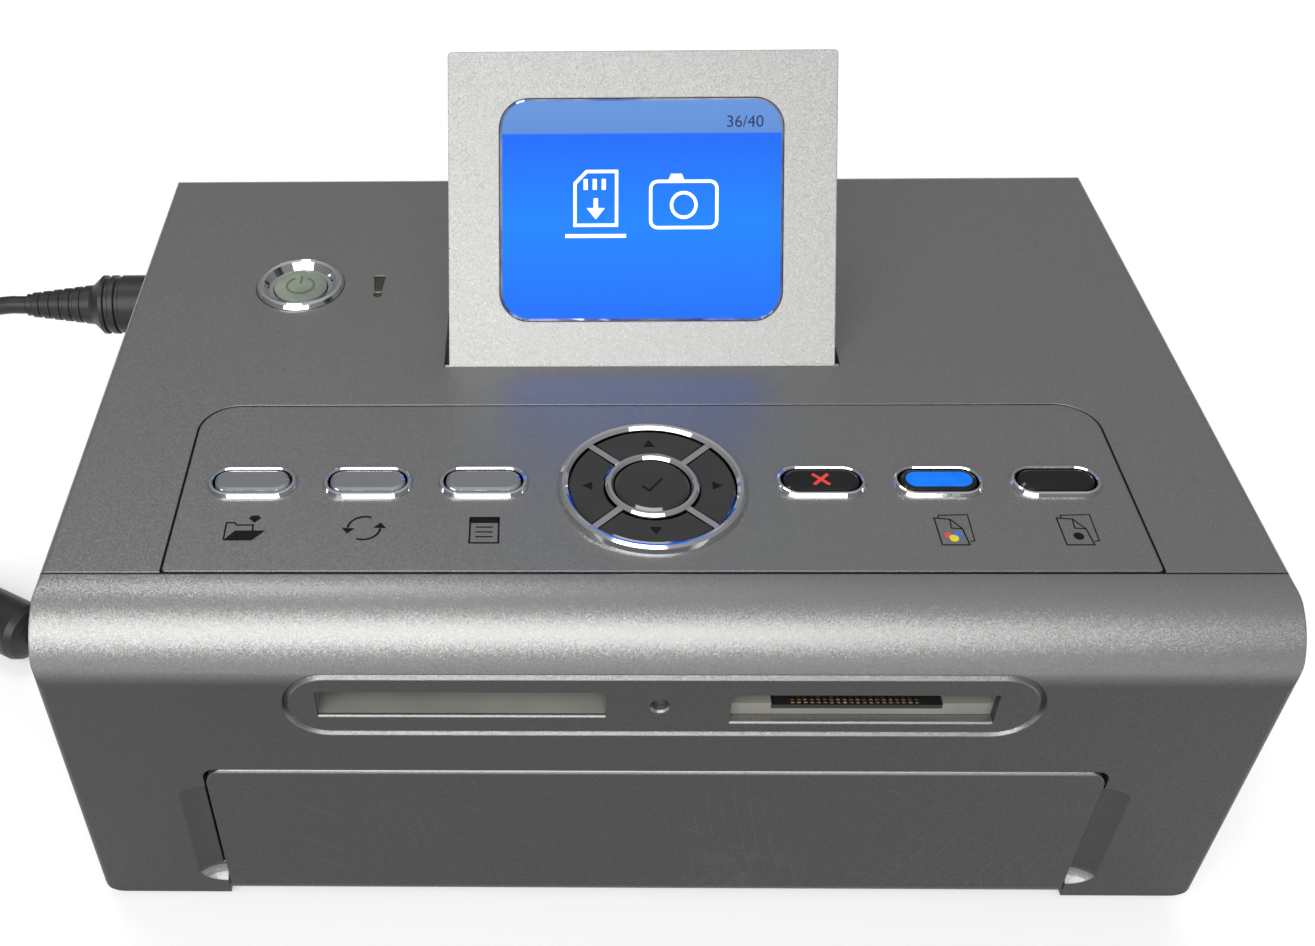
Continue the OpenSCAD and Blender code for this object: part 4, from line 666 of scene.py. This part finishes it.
key_rise = 0.001
pad_rise = 0.00068
power_rise = 0.00025
pad_at = (0, -0.0359)
cancel_at = (0.0289, -0.03475)
on_keys = Matrix.Translation((0, 0, panel_top + key_rise))
arm, half = 1.9, 0.31
cross = [(arm, half), (arm, -half), (half, -half), (half, -arm), (-half, -arm), (-half, -half)]
cross += [(-x, -y) for x, y in cross]
on_cancel = on_keys @ Matrix.Translation((*cancel_at, 0)) @ Matrix.Rotation(math.radians(45), 4, "Z")
film("cancel_sign", [cross], on_cancel, screen_ink("red_ink_bright", (0.72, 0.06, 0.05), 0.3),
     "cancel_key_body")
film("blue_film", [rounded(11.3, 3.7, 1.84, 8, (49, -34.75))], on_keys,
     gloss("blue_film", (0.0, 0.14, 0.68)), "colour_copy_key_body", 0.06)

# Signs on the pad, matt black on gloss black, and the power sign in green
for turn, way in enumerate(("right", "up", "left", "down")):
    quarter = Matrix.Rotation(math.radians(90 * turn), 4, "Z")
    point = Matrix.Translation((*pad_at, panel_top + pad_rise)) @ quarter
    film("pad_sign_" + way, [[(10.3, -0.95), (12.0, 0), (10.3, 0.95)]], point, black_ink,
         "pad_%s_key_body" % way)
tick = stroke([(-1.7, -36.4), (-0.6, -37.6), (1.7, -34.5)], 0.4)
film("centre_sign", tick, on_keys, black_ink, "pad_centre_key_body")
power_sign = stroke(arc((-68, 25.4), 2.75, 118, 422, 36), 0.34) + stroke([(-68, 25.9), (-68, 28.7)], 0.36)
film("power_sign", power_sign, Matrix.Translation((0, 0, panel_top + power_rise)),
     screen_ink("green_ink", (0.085, 0.16, 0.08)), "power_key_body")

# ---------------------------------------------------------------------------------------------
# Card slots: the light grey guide moulding shows in both mouths. In the large one stands the
# black socket with two rows of bronze contact springs, stamped and pressed in at even pitch.
contact_pitch = 1.07
contact_start = (22.135, -67.32, 53.9)
contact_count = 20

dress(moulded("guide_grey", (0.29, 0.28, 0.25), 0.5), "card_guide")


def bronze(name):
    # Spring bronze with a worn plating
    m, tree, shader = new_material(name, (0.5, 0.36, 0.18), 0.3)
    shader.inputs["Metallic"].default_value = 1
    mottled(tree, shader, 900, (0.30, 0.21, 0.10), (0.72, 0.55, 0.30))
    return m


def spring_row(name):
    # Geometry Nodes: one bent spring leaf repeated along a line
    tree = bpy.data.node_groups.new(name, "GeometryNodeTree")
    for label, kind, value in (("Count", "NodeSocketInt", contact_count), ("Pitch", "NodeSocketFloat", 0.001),
                               ("Leaf", "NodeSocketObject", None), ("Finish", "NodeSocketMaterial", None)):
        s = tree.interface.new_socket(label, in_out="INPUT", socket_type=kind)
        if value is not None:
            s.default_value = value
    tree.interface.new_socket("Geometry", in_out="OUTPUT", socket_type="NodeSocketGeometry")
    nodes, link = tree.nodes, tree.links.new
    given, done = nodes.new("NodeGroupInput"), nodes.new("NodeGroupOutput")
    step = nodes.new("ShaderNodeCombineXYZ")
    line = nodes.new("GeometryNodeMeshLine")
    leaf = nodes.new("GeometryNodeObjectInfo")
    place = nodes.new("GeometryNodeInstanceOnPoints")
    real = nodes.new("GeometryNodeRealizeInstances")
    finish = nodes.new("GeometryNodeSetMaterial")
    link(given.outputs["Pitch"], step.inputs["X"])
    link(given.outputs["Count"], line.inputs["Count"])
    link(step.outputs["Vector"], line.inputs["Offset"])
    link(line.outputs["Mesh"], place.inputs["Points"])
    link(given.outputs["Leaf"], leaf.inputs["Object"])
    link(leaf.outputs["Geometry"], place.inputs["Instance"])
    link(place.outputs["Instances"], real.inputs["Geometry"])
    link(real.outputs["Geometry"], finish.inputs["Geometry"])
    link(given.outputs["Finish"], finish.inputs["Material"])
    link(finish.outputs["Geometry"], done.inputs["Geometry"])
    return tree


def baked_row(name, tree, at, body, **values):
    # Sets the tree's inputs by identifier, evaluates it and keeps the plain mesh, moved to its place
    holder = bpy.data.objects.new(name, bpy.data.meshes.new(name + "_start"))
    bpy.context.collection.objects.link(holder)
    rows = holder.modifiers.new(name, "NODES")
    rows.node_group = tree
    for item in tree.interface.items_tree:
        if item.in_out == "INPUT" and item.name in values:
            rows[item.identifier] = values[item.name]
    bpy.context.view_layer.update()
    mesh = bpy.data.meshes.new_from_object(holder.evaluated_get(bpy.context.evaluated_depsgraph_get()))
    holder.modifiers.remove(rows)
    mesh.transform(Matrix.Translation(Vector(at) / 1000))
    holder.data = mesh
    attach(holder, body)
    return holder


contact_tree = spring_row("contact_row")
spring_bronze = bronze("spring_bronze")
for row, (length, back) in enumerate(((0.42, 0), (1.02, 0.6))):
    bm = bmesh.new()
    side = [(back, 0), (back, 0.2), (back + 0.1, 0.26), (back + length - 0.2, 0.3), (back + length, 0.2),
            (back + length, 0)]
    drawn_out(bm, [[Vector((x, y, z)) / 1000 for y, z in side] for x in (-0.27, 0.27)])
    bmesh.ops.recalc_face_normals(bm, faces=bm.faces)
    leaf_mesh = bpy.data.meshes.new("leaf")
    bm.to_mesh(leaf_mesh)
    bm.free()
    for p in leaf_mesh.polygons:
        p.use_smooth = False
    leaf = bpy.data.objects.new("leaf", leaf_mesh)
    bpy.context.collection.objects.link(leaf)
    contacts = baked_row("card_contacts_%d" % (row + 1), contact_tree, contact_start, "casing",
                         Count=contact_count, Pitch=contact_pitch / 1000, Leaf=leaf, Finish=spring_bronze)
    bpy.data.objects.remove(leaf)
dress(moulded("socket_black", (0.014, 0.014, 0.015), 0.4), "card_socket")
# The light pipe is clear plastic drawn dark grey: painted shade of the deep hole it sits in
dress(moulded("clear_pipe", (0.05, 0.05, 0.05), 0.25), "status_light")

# ---------------------------------------------------------------------------------------------
# Inner mechanism: pressed and ground steel, acetal gears and spools, rubber rollers and the green
# boards, which show when the doors are open.
steel = plated("zinc_steel", (0.42, 0.42, 0.43), 0.3)
dress(steel, "case_screws", "door_pins", "lcd_pins", "left_plate", "right_plate", "motor")
dress(plated("ground_steel", (0.6, 0.6, 0.61), 0.15), "feed_roller")
dress(plated("brass_pinion", (0.65, 0.45, 0.16), 0.25), "motor_pinion")
dress(plated("head_aluminium", (0.62, 0.63, 0.64), 0.35), "thermal_head")
dress(moulded("white_acetal", (0.62, 0.61, 0.57), 0.45), "idler_gear", "supply_spool", "takeup_spool")
dress(soft_pvc("roller_rubber", (0.025, 0.025, 0.026), 0.6), "platen_roller", "pinch_roller", "pick_roller")


def circuit_board(name):
    # Solder mask over copper: a lighter net of tracks shows through the green
    m, tree, shader = new_material(name, (0.02, 0.10, 0.04), 0.3)
    nodes, link = tree.nodes, tree.links.new
    place = nodes.new("ShaderNodeTexCoord")
    tracks = nodes.new("ShaderNodeTexBrick")
    tracks.inputs["Scale"].default_value = 160
    tracks.inputs["Mortar Size"].default_value = 0.03
    tracks.inputs["Color1"].default_value = (0.015, 0.085, 0.035, 1)
    tracks.inputs["Color2"].default_value = (0.02, 0.105, 0.045, 1)
    tracks.inputs["Mortar"].default_value = (0.06, 0.22, 0.10, 1)
    link(place.outputs["Object"], tracks.inputs["Vector"])
    link(tracks.outputs["Color"], shader.inputs["Base Color"])
    grained(tree, shader, 900, 0.2, 0.00004)
    return m


dress(circuit_board("green_board"), "key_board", "card_reader_board", "main_board", "power_board",
      "power_switch_board")

# ---------------------------------------------------------------------------------------------
# Studio: a pale table top, a broad soft light in front, a smaller lamp high at the rear left, a low
# one behind for the rear wall, and an even surround that is dimmer near the horizon.
table_mesh = bpy.data.meshes.new("table_top")
table_mesh.from_pydata([(-3, -3, 0), (3, -3, 0), (3, 3, 0), (-3, 3, 0)], [], [(0, 1, 2, 3)])
table = bpy.data.objects.new("table_top", table_mesh)
bpy.context.collection.objects.link(table)
pale, pale_tree, pale_shader = new_material("pale_table", (0.3, 0.3, 0.3), 0.9)
nodes, link = pale_tree.nodes, pale_tree.links.new
ray = nodes.new("ShaderNodeLightPath")
seen = nodes.new("ShaderNodeMath")
seen.operation = "ADD"
seen_all = nodes.new("ShaderNodeMath")
seen_all.operation = "ADD"
seen_all.use_clamp = True
link(ray.outputs["Is Camera Ray"], seen.inputs[0])
link(ray.outputs["Is Glossy Ray"], seen.inputs[1])
link(seen.outputs["Value"], seen_all.inputs[0])
link(ray.outputs["Is Transmission Ray"], seen_all.inputs[1])
pick = nodes.new("ShaderNodeMix")
pick.data_type = "RGBA"
pick.inputs["A"].default_value = (0.3, 0.3, 0.3, 1)
pick.inputs["B"].default_value = (0.7, 0.7, 0.7, 1)
lift = nodes.new("ShaderNodeMath")
lift.operation = "MULTIPLY"
lift.inputs[1].default_value = 0.38
link(seen_all.outputs["Value"], pick.inputs["Factor"])
link(pick.outputs["Result"], pale_shader.inputs["Base Color"])
link(seen_all.outputs["Value"], lift.inputs[0])
pale_shader.inputs["Emission Color"].default_value = (1, 1, 1, 1)
pale_shader.inputs["Specular IOR Level"].default_value = 0
link(lift.outputs["Value"], pale_shader.inputs["Emission Strength"])
table_mesh.materials.append(pale)

world = bpy.data.worlds.new("surround")
bpy.context.scene.world = world
world.use_nodes = True
nodes, link = world.node_tree.nodes, world.node_tree.links.new
sky = nodes.new("ShaderNodeTexCoord")
height = nodes.new("ShaderNodeSeparateXYZ")
shade = nodes.new("ShaderNodeValToRGB")
shade.color_ramp.elements[0].position = 0.0
shade.color_ramp.elements[0].color = (0.14, 0.14, 0.145, 1)
shade.color_ramp.elements[1].position = 1.0
shade.color_ramp.elements[1].color = (0.55, 0.55, 0.55, 1)
shade.color_ramp.elements.new(0.75).color = (0.32, 0.32, 0.32, 1)
link(sky.outputs["Generated"], height.inputs["Vector"])
link(height.outputs["Z"], shade.inputs["Fac"])
link(shade.outputs["Color"], nodes["Background"].inputs["Color"])


def soft_lamp(name, at, size, energy):
    # Rectangular lamp that faces the printer
    lamp = bpy.data.objects.new(name, bpy.data.lights.new(name, "AREA"))
    bpy.context.collection.objects.link(lamp)
    lamp.data.shape = "RECTANGLE"
    lamp.data.size, lamp.data.size_y = size
    lamp.data.energy = energy
    lamp.location = at
    lamp.rotation_euler = (Vector((0, 0, 0.05)) - Vector(at)).to_track_quat("-Z", "Y").to_euler()
    return lamp


soft_lamp("front_lamp", (-0.16, -0.76, 0.66), (1.1, 0.74), 9.6)
soft_lamp("rear_lamp", (-0.29, 0.28, 1.18), (0.3, 0.3), 1.7)
# The low lamp is kept out of reflections, so that the top doesn't mirror it
soft_lamp("back_lamp", (0.4, 1.2, 0.42), (1.3, 0.5), 11).visible_glossy = False
bpy.context.scene.view_settings.view_transform = "Standard"
